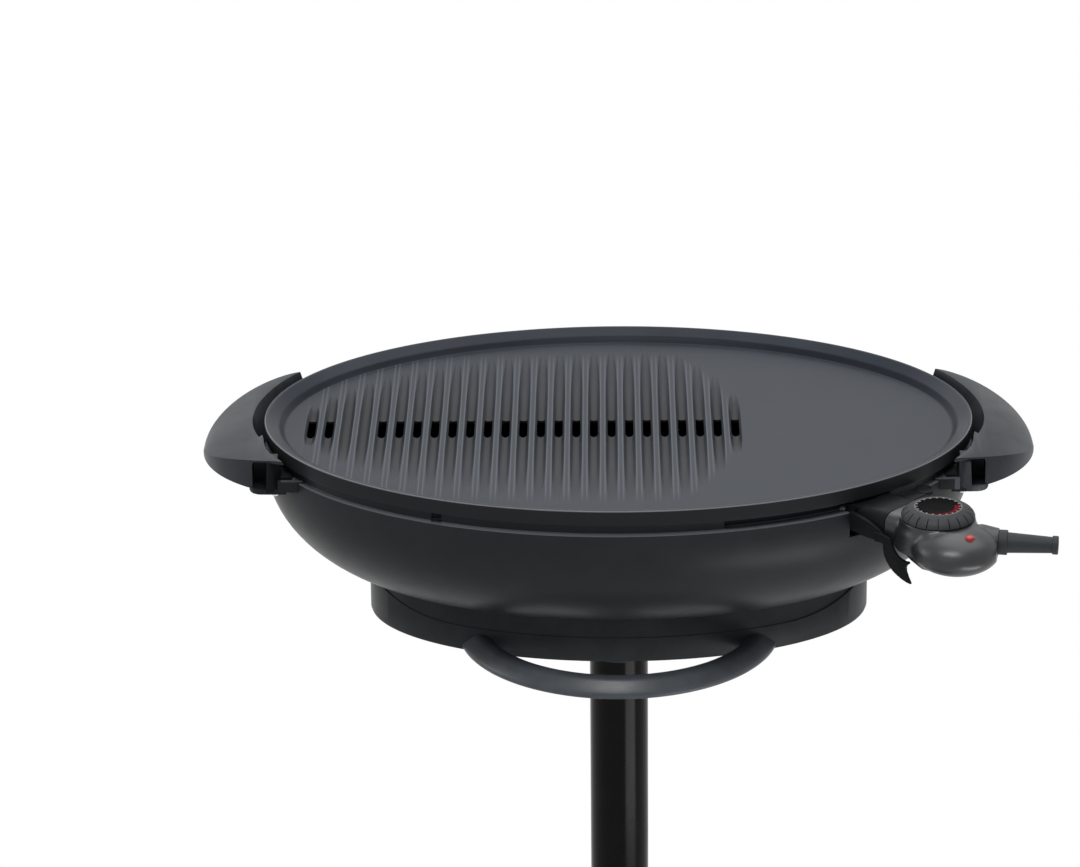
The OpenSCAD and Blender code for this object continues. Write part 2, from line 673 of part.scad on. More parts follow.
module contact_block() color("#1c1c1e") at_plug() difference() {
    translate([nose_s[0], -nose_hw, plug_z - nose_hh]) cube([nose_s[1] - nose_s[0], 2 * nose_hw, 2 * nose_hh]);
    for (s = [-1, 1]) along_plug(nose_s[0] - 1, nose_s[0] + nose_bore, s * pin_space, plug_z, pin_r + run_fit);
    along_plug(nose_s[0] - 1, nose_s[1] + 1, 0, plug_z, probe_r + fix_fit);
}

module probe_rod() color("silver") at_plug() {
    along_plug(-probe_len + probe_r, nose_s[1] + 4, 0, plug_z, probe_r);
    translate([-probe_len + probe_r, 0, plug_z]) rotate([0, -90, 0]) cylinder(r1 = probe_r, r2 = 1, h = probe_r);
}

// Switch behind the contact block: a base, a stack of leaves with spacers, and two blades.
switch_s = nose_s[1] + 4.5;
module thermostat_switch() color("#b08d57") at_plug() {
    translate([switch_s, -8, plug_z - 5]) cube([34, 16, 2.5]);
    for (z = [0:2:4]) translate([switch_s + 2, -4, plug_z - 2.5 + z]) cube([z == 4 ? 18 : 26, 8, 0.6]);
    translate([switch_s + 2, -4, plug_z - 2.5]) cube([6, 8, 4.6]);
    for (s = [-1, 1]) translate([nose_s[1], s * pin_space - 2, plug_z - 4])
        cube([switch_s - nose_s[1] + 4, 4, 1.5]);
    translate([nose_s[1], -pin_space - 2, plug_z - 4.9]) cube([2, 2 * pin_space + 4, 1.5]);
    translate([switch_s + 22, -4, plug_z - 11.8]) cube([10, 8, 6.9]);
}

module strain_relief() color("#242628") at_plug() difference() {
    union() {
        relief_axis(-11, -collar_len / 2, 5.3, 5.3);
        relief_axis(-collar_len / 2, collar_len / 2, collar_r, collar_r);
        relief_axis(collar_len / 2, collar_len / 2 + relief_len, relief_r1, relief_r2);
        relief_axis(collar_len / 2 + relief_len, collar_len / 2 + relief_len + bead_len, bead_r, bead_r);
    }
    relief_axis(-12, collar_len / 2 + relief_len + bead_len + 1, cord_hole_r, cord_hole_r);
}

// Clamp that holds the strain relief's inner end down in the lower shell.
module cord_clamp() color("#1c1c1e") at_plug() translate([relief_s, relief_side, relief_z])
    rotate([0, 0, relief_turn]) difference() {
        translate([-18, -7, -6]) cube([6, 14, 9]);
        translate([-19, 0, 0]) rotate([0, 90, 0]) cylinder(r = cord_hole_r, h = 8);
    }

module pilot_lens() color("red") at_plug() translate(pilot) {
    translate([0, 0, -5]) cylinder(r = pilot_r, h = 5);
    intersection() {
        translate([0, 0, -pilot_r * 1.6]) sphere(r = pilot_r * 1.9);
        cylinder(r = pilot_r, h = 3);
    }
}

module dial() color("#3a3c3f") at_plug() translate([dial_s, 0, dial_foot_z]) difference() {
    rotate_extrude() polygon([
        [0, 0], [dial_r - 0.5, 0], [dial_r, 0.6], [dial_r - 0.4, 2.2], [dial_r - 2, 4],
        [dial_top_r + 1, dial_h - 0.4], [dial_top_r, dial_h], [dial_top_r - 3, dial_h],
        [dial_top_r - 3.2, dial_h - 1], [0, dial_h - 1]
    ]);
    translate([0, 0, -1]) cylinder(r = shaft_r + fix_fit, h = 1 + shaft_bite);
}

shaft_bite = 4;
shaft_rise = 2.6;

module dial_cap() color("black") at_plug() translate([dial_s, 0, dial_foot_z + dial_h - 1])
    cylinder(r = dial_top_r - 3.3, h = 0.8);

module dial_shaft() color("silver") at_plug() translate([dial_s, 0, plug_z + shaft_rise])
    cylinder(r = shaft_r, h = dial_foot_z + shaft_bite - plug_z - shaft_rise);

// ---- Stand ----

// Height of the stand head's edge: high at its two ends and low along the front and back.
function wave_z(x) = let (t = min(1, max(0, (abs(x) - head_a * 0.66) / (head_a * 0.34))))
    -wave_low + (wave_low - wave_high) * pow(t, 2.2);

module head_outer_wall() difference() {
    oval_disc(head_a, head_b, head_under_z, -wave_high);
    oval_disc(head_a - head_t, head_b - head_t, head_floor_z, -wave_high + 1);
    translate([0, head_b + 1, 0]) rotate([90, 0, 0]) linear_extrude(2 * head_b + 2) polygon(concat(
        [for (k = [-24:24]) let (x = head_a * sin(90 * k / 24)) [x, wave_z(x)]],
        [[head_a + 1, -wave_high], [head_a + 1, 0], [-head_a - 1, 0], [-head_a - 1, -wave_high]]));
}

inner_top_z = -bowl_straight - bowl_curve_d * sqrt(1 - pow((head_b - inner_step + oval_step - bowl_core)
    / bowl_curve_w, 2)) - 1;
inner_a = head_b - inner_step + oval_step;

module head_inner_wall() difference() {
    oval_disc(inner_a - 1, head_b - inner_step, head_floor_z - 1, inner_top_z);
    oval_disc(inner_a - 1 - head_t, head_b - inner_step - head_t, head_floor_z, inner_top_z + 1);
}

module rail_bow(grow) translate([0, rail_cy, -rail_depth]) rotate([0, 0, -90 - rail_half_turn])
    rotate_extrude(angle = 2 * rail_half_turn) translate([rail_r, 0]) scale([1, rail_h / rail_w])
        circle(r = rail_w / 2 + grow);

function rail_end(s) = [s * rail_r * sin(rail_half_turn - 3), rail_cy - rail_r * cos(rail_half_turn - 3)];

module stand_head() color("#2b2e31") at_rim() difference() {
    union() {
        head_outer_wall();
        head_inner_wall();
        for (sx = [-1, 1], sy = [-1, 1]) translate([sx * bowl_foot_x, sy * bowl_foot_y, head_floor_z - 1])
            cylinder(r = bowl_foot_r + 2, h = seat_top_z - head_floor_z + 1);
    }
    rail_bow(gap);
    for (s = [-1, 1]) translate([rail_end(s)[0], rail_end(s)[1], head_under_z - 1])
        cylinder(r = screw_r + fix_fit, h = 8);
    for (k = [0:3]) rotate([0, 0, 45 + 90 * k]) translate([flange_r - 9, 0, head_under_z - 1])
        cylinder(r = 2.1, h = head_floor_t + 2);
}

module front_rail() color("#33373a") at_rim() difference() {
    rail_bow(0);
    for (s = [-1, 1]) translate([rail_end(s)[0], rail_end(s)[1], -rail_depth - rail_h])
        cylinder(r = screw_r + fix_fit, h = rail_h + 3);
}

module rail_screws() color("silver") at_rim() for (s = [-1, 1])
    translate([rail_end(s)[0], rail_end(s)[1], head_under_z]) {
        cylinder(r = screw_r, h = -rail_depth - head_under_z + 2.5);
        translate([0, 0, -1.8]) cylinder(r = 3, h = 1.8);
    }

module pole_socket() color("#1f2022") at_rim() difference() {
    translate([0, 0, head_under_z]) {
        translate([0, 0, -flange_t]) cylinder(r = flange_r, h = flange_t);
        translate([0, 0, -flange_t - socket_len]) cylinder(r = socket_r, h = socket_len + 1);
    }
    translate([0, 0, head_under_z - flange_t - socket_len - 1]) cylinder(r = socket_bore_r, h = socket_len + 1);
    for (k = [0:3]) rotate([0, 0, 45 + 90 * k]) translate([flange_r - 9, 0, head_under_z - flange_t - 1])
        cylinder(r = 2.1, h = flange_t + 2);
}

module socket_screws() color("silver") at_rim() for (k = [0:3]) rotate([0, 0, 45 + 90 * k])
    translate([flange_r - 9, 0, head_under_z - flange_t]) {
        translate([0, 0, -2]) cylinder(r = 3.8, h = 2);
        cylinder(r = 2, h = flange_t + head_floor_t);
        translate([0, 0, flange_t + head_floor_t]) cylinder(r = 4, h = 3);
    }

module tube(r, t, z0, z1) translate([0, 0, z0]) difference() {
    cylinder(r = r, h = z1 - z0);
    translate([0, 0, -1]) cylinder(r = r - t, h = z1 - z0 + 2);
}

module screw_holes(r) for (z = [seam_h - sleeve_len / 4, seam_h + sleeve_len / 4])
    translate([0, 0, z]) rotate([-90, 0, 0]) cylinder(r = r, h = pole_r + 10);

module pole_upper() color("#161718") difference() {
    tube(pole_r, pole_t, seam_h, grill_h + head_under_z - flange_t);
    screw_holes(2.1);
}

module pole_lower() color("#161718") difference() {
    tube(pole_r, pole_t, ballast_top, seam_h);
    screw_holes(2.1);
}

sleeve_r = pole_bore_r - fix_fit;

module pole_sleeve() color("gray") difference() {
    tube(sleeve_r, 2, seam_h - sleeve_len / 2, seam_h + sleeve_len / 2);
    screw_holes(2.1);
}

module pole_screws() color("#303030") for (z = [seam_h - sleeve_len / 4, seam_h + sleeve_len / 4])
    translate([0, 0, z]) rotate([-90, 0, 0]) {
        translate([0, 0, sleeve_r - 4]) cylinder(r = 2, h = pole_r - sleeve_r + 4.5);
        translate([0, 0, pole_r + 0.3]) cylinder(r = 4, h = 1.8);
    }

dome_hole_r = socket_r + 1;

// Height of the dome's outer face at a radius.
function dome_z(r) = base_edge_h + (base_h - base_edge_h)
    * pow(cos(90 * min(1, max(0, r - socket_r) / (base_r - socket_r))), 1.1);

module base_dome() color("#1e2022") rotate_extrude() polygon(concat(
    [[base_r - base_t, 1.5], [base_r, 1.5], [base_r, base_edge_h - 2]],
    [for (k = [16:-1:0]) let (r = dome_hole_r + (base_r - 2 - dome_hole_r) * k / 16) [r, dome_z(r)]],
    [for (k = [0:16]) let (r = dome_hole_r + (base_r - base_t - dome_hole_r) * k / 16)
        [r, dome_z(r) - base_t * (k == 16 ? 1.4 : 1)]]
));

base_bolt_r = 4;
dome_post_x = base_r * 0.55;
dome_post_r = 7;

module base_ballast() color("#101010") difference() {
    union() {
        translate([0, 0, ballast_z]) cylinder(r = ballast_r, h = ballast_t);
        for (k = [0:3]) rotate([0, 0, 90 * k]) translate([dome_post_x, 0, ballast_top - 1])
            cylinder(r = dome_post_r, h = dome_z(dome_post_x + dome_post_r) - base_t - ballast_top + 0.9);
    }
    for (k = [0:3]) rotate([0, 0, 45 + 90 * k]) translate([flange_r - 10, 0, ballast_z - 1])
        cylinder(r = base_bolt_r + 0.1, h = ballast_t + 2);
}

module base_socket() color("#1f2022") difference() {
    union() {
        translate([0, 0, ballast_top]) cylinder(r = flange_r, h = flange_t);
        translate([0, 0, ballast_top]) cylinder(r = socket_r, h = base_socket_h);
    }
    translate([0, 0, ballast_top - 1]) cylinder(r = socket_bore_r, h = base_socket_h + 2);
    for (k = [0:3]) rotate([0, 0, 45 + 90 * k]) translate([flange_r - 10, 0, ballast_top - 1])
        cylinder(r = base_bolt_r + 0.1, h = flange_t + 2);
}

module base_bolts() color("silver") for (k = [0:3]) rotate([0, 0, 45 + 90 * k]) translate([flange_r - 10, 0, 0]) {
    translate([0, 0, ballast_z]) cylinder(r = base_bolt_r, h = ballast_t + flange_t);
    translate([0, 0, ballast_z - 2.4]) cylinder(r = 7, h = 2.4);
    translate([0, 0, ballast_top + flange_t]) cylinder(r = 6.5, h = 5, $fn = 6);
}

// Cover that hides the socket's mouth and the dome's hole.
module base_collar() color("#1a1b1c") rotate_extrude() polygon([
    [pole_r + 0.3, ballast_top + base_socket_h + 0.2], [socket_r + 0.3, ballast_top + base_socket_h + 0.2],
    [socket_r + 0.3, base_h + 0.3], [socket_r + 9, dome_z(socket_r + 9) + 0.5], [socket_r + 9, base_h + 4],
    [socket_r + 3, base_h + 10], [socket_r + 2.5, ballast_top + base_socket_h + 2],
    [socket_r, ballast_top + base_socket_h + 3.5], [pole_r + 0.3, ballast_top + base_socket_h + 3.5]
]);

module base_feet() color("black") {
    cylinder(r = foot_r, h = foot_h);
    for (k = [0:4]) rotate([0, 0, 90 + 72 * k]) translate([ballast_r - foot_r - 8, 0, 0])
        cylinder(r = foot_r, h = foot_h);
}

grill_plate();
heating_element();
element_clamps();
terminal_block();
terminal_pins();
probe_guide();
terminal_hood();
hood_screws();
bowl();
bowl_feet();
reflector_pan();
drip_tray();
handle_left();
handle_right();
bracket_left();
bracket_right();
handle_screws();
bracket_screws();
controller_upper_shell();
controller_lower_shell();
contact_block();
probe_rod();
thermostat_switch();
strain_relief();
cord_clamp();
pilot_lens();
controller_screws();
dial();
dial_cap();
dial_shaft();
stand_head();
front_rail();
rail_screws();
pole_socket();
socket_screws();
pole_upper();
pole_lower();
pole_sleeve();
pole_screws();
base_dome();
base_ballast();
base_socket();
base_bolts();
base_collar();
base_feet();
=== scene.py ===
import json
import math

import bmesh
import bpy
from mathutils import Matrix, Vector


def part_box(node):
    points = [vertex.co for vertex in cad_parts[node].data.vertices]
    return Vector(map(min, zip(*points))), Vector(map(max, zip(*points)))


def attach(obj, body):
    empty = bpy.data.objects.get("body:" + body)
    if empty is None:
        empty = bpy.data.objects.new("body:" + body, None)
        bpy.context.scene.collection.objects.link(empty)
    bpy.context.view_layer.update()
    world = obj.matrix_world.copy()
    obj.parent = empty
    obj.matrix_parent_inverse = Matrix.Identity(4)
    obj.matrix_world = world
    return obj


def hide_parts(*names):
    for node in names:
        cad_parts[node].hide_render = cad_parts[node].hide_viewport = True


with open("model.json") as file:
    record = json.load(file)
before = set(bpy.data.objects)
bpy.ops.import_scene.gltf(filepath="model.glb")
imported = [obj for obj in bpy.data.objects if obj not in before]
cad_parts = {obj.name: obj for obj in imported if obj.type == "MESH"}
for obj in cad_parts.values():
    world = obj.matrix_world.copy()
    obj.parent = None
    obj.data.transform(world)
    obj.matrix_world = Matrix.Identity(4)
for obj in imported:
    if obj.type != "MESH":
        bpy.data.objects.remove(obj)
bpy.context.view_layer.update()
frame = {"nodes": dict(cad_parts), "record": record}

MM = 0.001
RIM = 0.86  # height of the cooking plate's rim above the floor, in metres

# Sizes below are in mm, and heights count from the plate's rim.
PLATE_A, PLATE_B = 250.0, 180.5  # half the oval plate's length and width
FLOOR_Z = -8.5  # the plate's cooking floor
GROOVE_STEP = 12.5
GROOVES = [-217 + GROOVE_STEP * k for k in range(25)]
SLOTLESS = (2, 3)  # grooves over the heating element, which have no drain slot
BOWL_LIP = -18.3
PLUG, PLUG_TURN = (192.0, -145.7), -40  # where the controller plugs in, and how far it is turned
DIAL_OUT = 30  # from the plug's face to the dial's middle
DIAL_CENTRE = (
    PLUG[0] + DIAL_OUT * math.cos(math.radians(PLUG_TURN)),
    PLUG[1] + DIAL_OUT * math.sin(math.radians(PLUG_TURN)),
)


# ---- Camera ----


def place_camera():
    """A long lens in front of the grill and a little above it, which looks down on the plate."""
    yaw, pitch, roll = (math.radians(turn) for turn in (0.92, 21.4894, -0.6211))
    place = Vector((-0.007314, -2.985448, RIM + 1.160643))
    ahead = Vector((-math.sin(yaw) * math.cos(pitch), math.cos(yaw) * math.cos(pitch), -math.sin(pitch)))
    level = ahead.cross(Vector((0, 0, 1))).normalized()
    upright = level.cross(ahead)
    right = level * math.cos(roll) + upright * math.sin(roll)
    up = upright * math.cos(roll) - level * math.sin(roll)
    data = bpy.data.cameras.new("studio_camera")
    data.lens = 150.93
    data.sensor_width = 36
    data.clip_start, data.clip_end = 0.1, 100
    camera = bpy.data.objects.new("studio_camera", data)
    bpy.context.scene.collection.objects.link(camera)
    camera.matrix_world = Matrix((
        (right.x, up.x, -ahead.x, place.x),
        (right.y, up.y, -ahead.y, place.y),
        (right.z, up.z, -ahead.z, place.z),
        (0, 0, 0, 1),
    ))
    bpy.context.scene.camera = camera


place_camera()


# ---- Shader maths ----


class Wire:
    """The value that leaves a node's socket, which can stand in sums."""

    def __init__(self, finish, socket):
        self.finish, self.socket = finish, socket

    def maths(self, operation, *values):
        return self.finish.node("ShaderNodeMath", {"operation": operation}, *values)

    def __add__(self, other):
        return self.maths("ADD", self, other)

    def __radd__(self, other):
        return self.maths("ADD", other, self)

    def __sub__(self, other):
        return self.maths("SUBTRACT", self, other)

    def __rsub__(self, other):
        return self.maths("SUBTRACT", other, self)

    def __mul__(self, other):
        return self.maths("MULTIPLY", self, other)

    def __rmul__(self, other):
        return self.maths("MULTIPLY", other, self)

    def __truediv__(self, other):
        return self.maths("DIVIDE", self, other)

    def __rtruediv__(self, other):
        return self.maths("DIVIDE", other, self)

    def __pow__(self, other):
        return self.maths("POWER", self, other)

    def __abs__(self):
        return self.maths("ABSOLUTE", self)

    def most(self, other):
        return self.maths("MAXIMUM", self, other)

    def wrapped(self, half):
        """The value brought back into the stretch from -half to half."""
        return self.maths("WRAP", self, half, -half)

    def step(self, low, high, start=0.0, end=1.0):
        """A smooth step from start to end while the value goes from low to high."""
        settings = {"interpolation_type": "SMOOTHSTEP"}
        return self.finish.node("ShaderNodeMapRange", settings, self, low, high, start, end)


class Finish:
    """A material: one Principled shader with what feeds it."""

    def __init__(self, name, color, roughness, **constants):
        self.material = bpy.data.materials.new(name)
        self.material.use_nodes = True
        self.tree = self.material.node_tree
        self.shader = self.tree.nodes["Principled BSDF"]
        self.shader.inputs["Base Color"].default_value = (*color, 1)
        self.shader.inputs["Roughness"].default_value = roughness
        for name, value in constants.items():
            self.shader.inputs[name.replace("_", " ")].default_value = value
        self.place = self.node("ShaderNodeTexCoord", {}, out="Object")

    def plug(self, socket, value):
        """Links a wire to a socket, or sets the socket to a plain value."""
        if isinstance(value, Wire):
            self.tree.links.new(value.socket, socket)
        else:
            socket.default_value = value

    def node(self, kind, settings, *values, out=0, **named):
        """Adds any node: its settings first, then the values or links of its sockets."""
        made = self.tree.nodes.new(kind)
        for name, value in settings.items():
            setattr(made, name, value)
        for key, value in [*enumerate(values), *named.items()]:
            self.plug(made.inputs[key], value)
        return Wire(self, made.outputs[out])

    def noise(self, scale, detail=2.0, rough=0.5, at=None):
        """Soft noise with features of about 1 / scale metres."""
        where = at if at else self.place
        return self.node("ShaderNodeTexNoise", {}, Vector=where, Scale=scale, Detail=detail, Roughness=rough)

    def stretched(self, scale):
        """The place, scaled by another factor along each axis."""
        return self.node("ShaderNodeMapping", {}, self.place, Scale=scale)

    def axes(self):
        """The place along X, Y and Z, in mm from the middle of the plate's rim."""
        spot = self.node("ShaderNodeVectorMath", {"operation": "SUBTRACT"}, self.place, (0, 0, RIM))
        spot = self.node("ShaderNodeVectorMath", {"operation": "SCALE"}, spot, Scale=1 / MM)
        return [self.node("ShaderNodeSeparateXYZ", {}, spot, out=k) for k in range(3)]

    def blend(self, factor, low, high):
        """A colour between two others."""
        mix = self.tree.nodes.new("ShaderNodeMix")
        mix.data_type = "RGBA"
        for key, value in ((0, factor), (6, low), (7, high)):
            self.plug(mix.inputs[key], (*value, 1) if isinstance(value, tuple) else value)
        return Wire(self, mix.outputs[2])

    def mottled(self, dark, light, scale=55):
        """Two shades of a colour in soft clouds."""
        return self.blend(self.noise(scale, 4, 0.6).step(0.3, 0.7), dark, light)

    def feed(self, socket, wire):
        self.tree.links.new(wire.socket, self.shader.inputs[socket])
        return self

    def relief(self, height, distance):
        """Bump from a height of 0 to 1 that stands for the distance, in metres."""
        return self.feed("Normal", self.node("ShaderNodeBump", {}, Distance=distance, Height=height))

    def speckle(self, size=0.0006, depth=0.00003):
        """Fine moulded or sprayed grain, with its size and depth in metres."""
        return self.relief(self.noise(1 / size, 3, 0.6), depth)


# ---- Studio ----


def area_light(name, size, power, place, aim):
    """A soft rectangular lamp, hidden from the camera, which shines on a point."""
    data = bpy.data.lights.new(name, "AREA")
    data.shape, data.size, data.size_y = "RECTANGLE", *size
    data.energy = power
    lamp = bpy.data.objects.new(name, data)
    bpy.context.scene.collection.objects.link(lamp)
    lamp.location = place
    lamp.visible_camera = False
    lamp.rotation_euler = (Vector(aim) - Vector(place)).to_track_quat("-Z", "Y").to_euler()


def white_rays(tree):
    """One for rays from the camera, in reflections and through glass, zero for all others."""
    nodes, links = tree.nodes, tree.links
    path = nodes.new("ShaderNodeLightPath")
    add = [nodes.new("ShaderNodeMath") for _ in range(2)]
    add[0].operation = add[1].operation = "ADD"
    add[1].use_clamp = True
    links.new(path.outputs["Is Camera Ray"], add[0].inputs[0])
    links.new(path.outputs["Is Glossy Ray"], add[0].inputs[1])
    links.new(add[0].outputs[0], add[1].inputs[0])
    links.new(path.outputs["Is Transmission Ray"], add[1].inputs[1])
    return add[1].outputs[0]


def mixed(tree, factor, first, second, end):
    """Sends a mix of two shaders to the tree's output."""
    mix = tree.nodes.new("ShaderNodeMixShader")
    for socket, source in zip(mix.inputs, (factor, first, second)):
        tree.links.new(source, socket)
    tree.links.new(mix.outputs[0], tree.nodes[end].inputs[0])


def build_world():
    """A dim, cool sky that is white where it is seen."""
    world = bpy.data.worlds.new("studio_world")
    bpy.context.scene.world = world
    world.use_nodes = True
    tree = world.node_tree
    dim = tree.nodes["Background"]
    dim.inputs["Color"].default_value = (0.93, 0.96, 1.0, 1)
    dim.inputs["Strength"].default_value = 0.35
    white = tree.nodes.new("ShaderNodeBackground")
    white.inputs["Color"].default_value = (1, 1, 1, 1)
    mixed(tree, white_rays(tree), dim.outputs[0], white.outputs[0], "World Output")


def build_floor():
    """A wide paper floor that takes shadows near the foot and turns plain white further out."""
    bpy.ops.mesh.primitive_circle_add(vertices=128, radius=14, fill_type="NGON", location=(0, 0, 0))
    floor = bpy.context.object
    floor.name = floor.data.name = "studio_floor"
    paper = Finish("floor_paper", (0.86, 0.86, 0.86), 0.9)
    middle = paper.node("ShaderNodeVectorMath", {"operation": "LENGTH"}, paper.place, out=1)
    factor = Wire(paper, white_rays(paper.tree)) * middle.step(0.45, 0.95)
    glow = paper.tree.nodes.new("ShaderNodeEmission")
    mixed(paper.tree, factor.socket, paper.shader.outputs[0], glow.outputs[0], "Material Output")
    floor.data.materials.append(paper.material)


def build_lamps():
    """Broad lamps above, behind and to the left, and small ones for the front and the pole."""
    head, bowl, pole = (0, 0, 0.75), (0, 0, 0.8), (0, 0, 0.55)
    area_light("over_soft", (2.4, 2.0), 34, (0.5, 0.7, 3.1), bowl)
    area_light("back_soft", (3.0, 1.3), 15.5, (-0.6, 3.0, 2.95), bowl)
    area_light("front_soft", (1.4, 1.2), 4, (-1.4, -2.9, 2.2), head)
    area_light("over_front_soft", (0.9, 0.4), 19, (-0.15, -0.95, 2.6), (0, -0.15, 0.72))
    area_light("low_strip_right", (0.55, 0.26), 2.7, (0.55, -0.55, 0.28), pole)
    area_light("side_soft_left", (0.8, 1.4), 11, (-2.2, 0.2, 1.5), head)


bpy.context.scene.view_settings.view_transform = "Standard"
build_world()
build_floor()
build_lamps()


# ---- Finishes ----


def plastic(name, color, roughness, shine, size=0.0006, depth=0.00003):
    """Moulded plastic: faint mottling, a fine spark-eroded grain and a slightly uneven gloss."""
    finish = Finish(name, color, roughness, Specular_IOR_Level=shine)
    light = tuple(min(1, c * 1.12 + 0.001) for c in color)
    dark = tuple(c * 0.9 for c in color)
    finish.feed("Base Color", finish.mottled(dark, light))
    worn = finish.noise(16, 5, 0.65).step(0.35, 0.75, roughness - 0.04, roughness + 0.06)
    finish.feed("Roughness", worn)
    return finish.speckle(size, depth)


def metal(name, color, roughness, grain, stretch=None):
    """Sheet or drawn steel with a fine grain and soft clouding."""
    finish = Finish(name, color, roughness, Metallic=1.0)
    fine = finish.noise(1 / grain, 2, 0.5, finish.stretched(stretch) if stretch else None)
    light = tuple(min(1, c * 1.08) for c in color)
    dark = tuple(c * 0.86 for c in color)
    finish.feed("Base Color", finish.mottled(dark, light, 30))
    finish.feed("Roughness", fine.step(0.25, 0.75, roughness - 0.06, roughness + 0.1))
    return finish.relief(fine, 0.00001)


def plate_finish():
    """Non-stick coating: a pebbled skin, polished on flats and crests and less glossy in grooves and cove,
    with painted highlights on the crests and the rim's edge, and painted shade in the grooves, beside the
    slots, in the cove and on the rim's sides.
    """
    finish = Finish(
        "plate_nonstick", (0.02, 0.024, 0.032), 0.34, Specular_IOR_Level=0.05, Coat_Roughness=0.26)
    x, y, z = finish.axes()
    radius = ((x / PLATE_A) ** 2 + (y / PLATE_B) ** 2) ** 0.5
    within = radius.step(0.985, 0.995, 1, 0)

    # Painted shade darkens the grooves, most of all beside the slots, the cove and the sides of the rim. The
    # same places are less glossy, and the rim's outermost side has a plainer grey of its own.
    sunk = z.step(-10.6, -8.8, 1, 0) * within
    by_slot = abs(y).step(16, 70, 1, 0) * sunk
    cove = z.step(-5.5, -3.8, 1, 0) * z.step(-8.6, -8.0) * within
    wall = radius.step(0.988, 0.994) * z.step(-2.5, -0.8, 1, 0)
    side = radius.step(0.9985, 1.0) * z.step(-1.2, -0.8, 1, 0)
    painted_shade = (sunk * 0.45 + by_slot * 0.35).most(cove * 0.45).most(wall * 0.45 * (1.0 - side))

    # Painted highlights: both shoulders of each groove, which are also glossier, and the rim's edge.
    shoulder = abs(abs((x - GROOVES[-1]).wrapped(GROOVE_STEP / 2)) - 4.7).step(0.0, 0.9, 1, 0)
    crest = shoulder * z.step(-9.4, -8.7) * z.step(-8.3, -7.8, 1, 0) * within
    bow = (((x + 180) ** 2 + y ** 2) ** 0.5).step(258, 268, 1, 0)
    ribbed = x.step(-224, -216) * bow * abs(y).step(120, 150, 1, 0)
    # Where a highlight is painted along the rim's rounded outer edge.
    edge = radius.step(0.9962, 0.9970) * z.step(-1.2, -0.8)

    cloud = finish.noise(14, 5, 0.6).step(0.3, 0.72)
    wipe = finish.noise(38, 4, 0.6, finish.stretched((1.0, 0.22, 1.0)))
    tone = (cloud * 0.65 + wipe * 0.35).step(0.2, 0.8)
    fleck = finish.noise(2600, 1, 0.5).step(0.62, 0.74, 0, 0.35)
    skin = finish.blend(tone, (0.018, 0.0225, 0.031), (0.023, 0.028, 0.038))
    skin = finish.blend(fleck, skin, (0.045, 0.05, 0.06))
    # Painted highlight on the ribs' crests.
    skin = finish.blend(crest * ribbed * 0.45, skin, (0.10, 0.11, 0.13))
    skin = finish.blend(side, skin, (0.0175, 0.0182, 0.0192))
    # Painted shade in the grooves, beside the slots, in the cove and on the rim's sides.
    skin = finish.blend(painted_shade * (1.0 - edge), skin, (0.006, 0.0065, 0.007))
    # Painted highlight along the rim's edge.
    finish.feed("Base Color", finish.blend(edge, skin, (0.17, 0.175, 0.18)))
    finish.feed("Roughness", tone * 0.05 + 0.30)
    gloss = 0.10 - sunk * 0.03 - by_slot * 0.03 + crest * ribbed * 0.06 - cove * 0.07 - wall * 0.08
    finish.feed("Coat Weight", gloss.most(0))
    pebble = finish.noise(900, 3, 0.55)
    return finish.relief(pebble * 0.6 + finish.noise(240, 2, 0.5) * 0.4, 0.00005)


def bowl_finish():
    """Satin enamel on pressed steel, with a painted highlight along its rolled rim."""
    finish = Finish("bowl_enamel", (0.015, 0.016, 0.018), 0.36, Specular_IOR_Level=0.10)
    z = finish.axes()[2]
    # A painted highlight along the rolled rim.
    rim = z.step(-19.25, -18.8) * z.step(-18.0, -17.8, 1, 0)
    enamel = finish.mottled((0.0152, 0.0162, 0.0182), (0.0178, 0.0189, 0.0211), 40)
    finish.feed("Base Color", finish.blend(rim, enamel, (0.095, 0.098, 0.106)))
    finish.feed("Roughness", finish.noise(16, 5, 0.65).step(0.35, 0.75, 0.33, 0.41))
    return finish.speckle(0.0009, 0.00002)


def dial_print(finish):
    """The distance from the dial's middle, the angle about it, and the red wedge that widens to hot."""
    x, y, z = finish.axes()
    across, along = x - DIAL_CENTRE[0], y - DIAL_CENTRE[1]
    radius = (across ** 2 + along ** 2) ** 0.5
    angle = finish.node("ShaderNodeMath", {"operation": "ARCTAN2"}, along, across)
    swing = (angle + 2.1) / 2.25
    red = radius.step(13.95, 14.1, 1, 0) * (radius + swing * 2.6).step(13.35, 13.5)
    return radius, angle, red * swing.step(0.0, 0.02) * swing.step(0.99, 1.0, 1, 0)


def dial_finish():
    """The dial's moulded grey with a dark printed ring: a fine edge line, ticks and the red wedge."""
    finish = Finish(
        "dial_printed", (0.045, 0.047, 0.050), 0.42, Specular_IOR_Level=0.01, Coat_Roughness=0.4)
    radius, angle, red = dial_print(finish)
    top = finish.axes()[2].step(-4.4, -4.3)
    tick = abs(angle.wrapped(math.pi / 20)).step(0.036, 0.050, 1, 0)
    tick = tick * radius.step(14.0, 14.1) * radius.step(15.4, 15.5, 1, 0)
    line = radius.step(15.5, 15.6) * radius.step(16.1, 16.2, 1, 0)
    ring = radius.step(16.0, 16.2, 1, 0) * top
    face = finish.mottled((0.045, 0.047, 0.050), (0.053, 0.055, 0.058))
    face = finish.blend(ring, face, (0.003, 0.003, 0.0035))
    face = finish.blend((tick * 0.9).most(line * 0.8) * top, face, (0.24, 0.23, 0.24))
    finish.feed("Base Color", finish.blend(red * top, face, (0.26, 0.010, 0.012)))
    finish.feed("Coat Weight", 0.12 - ring * 0.12)
    return finish.speckle()


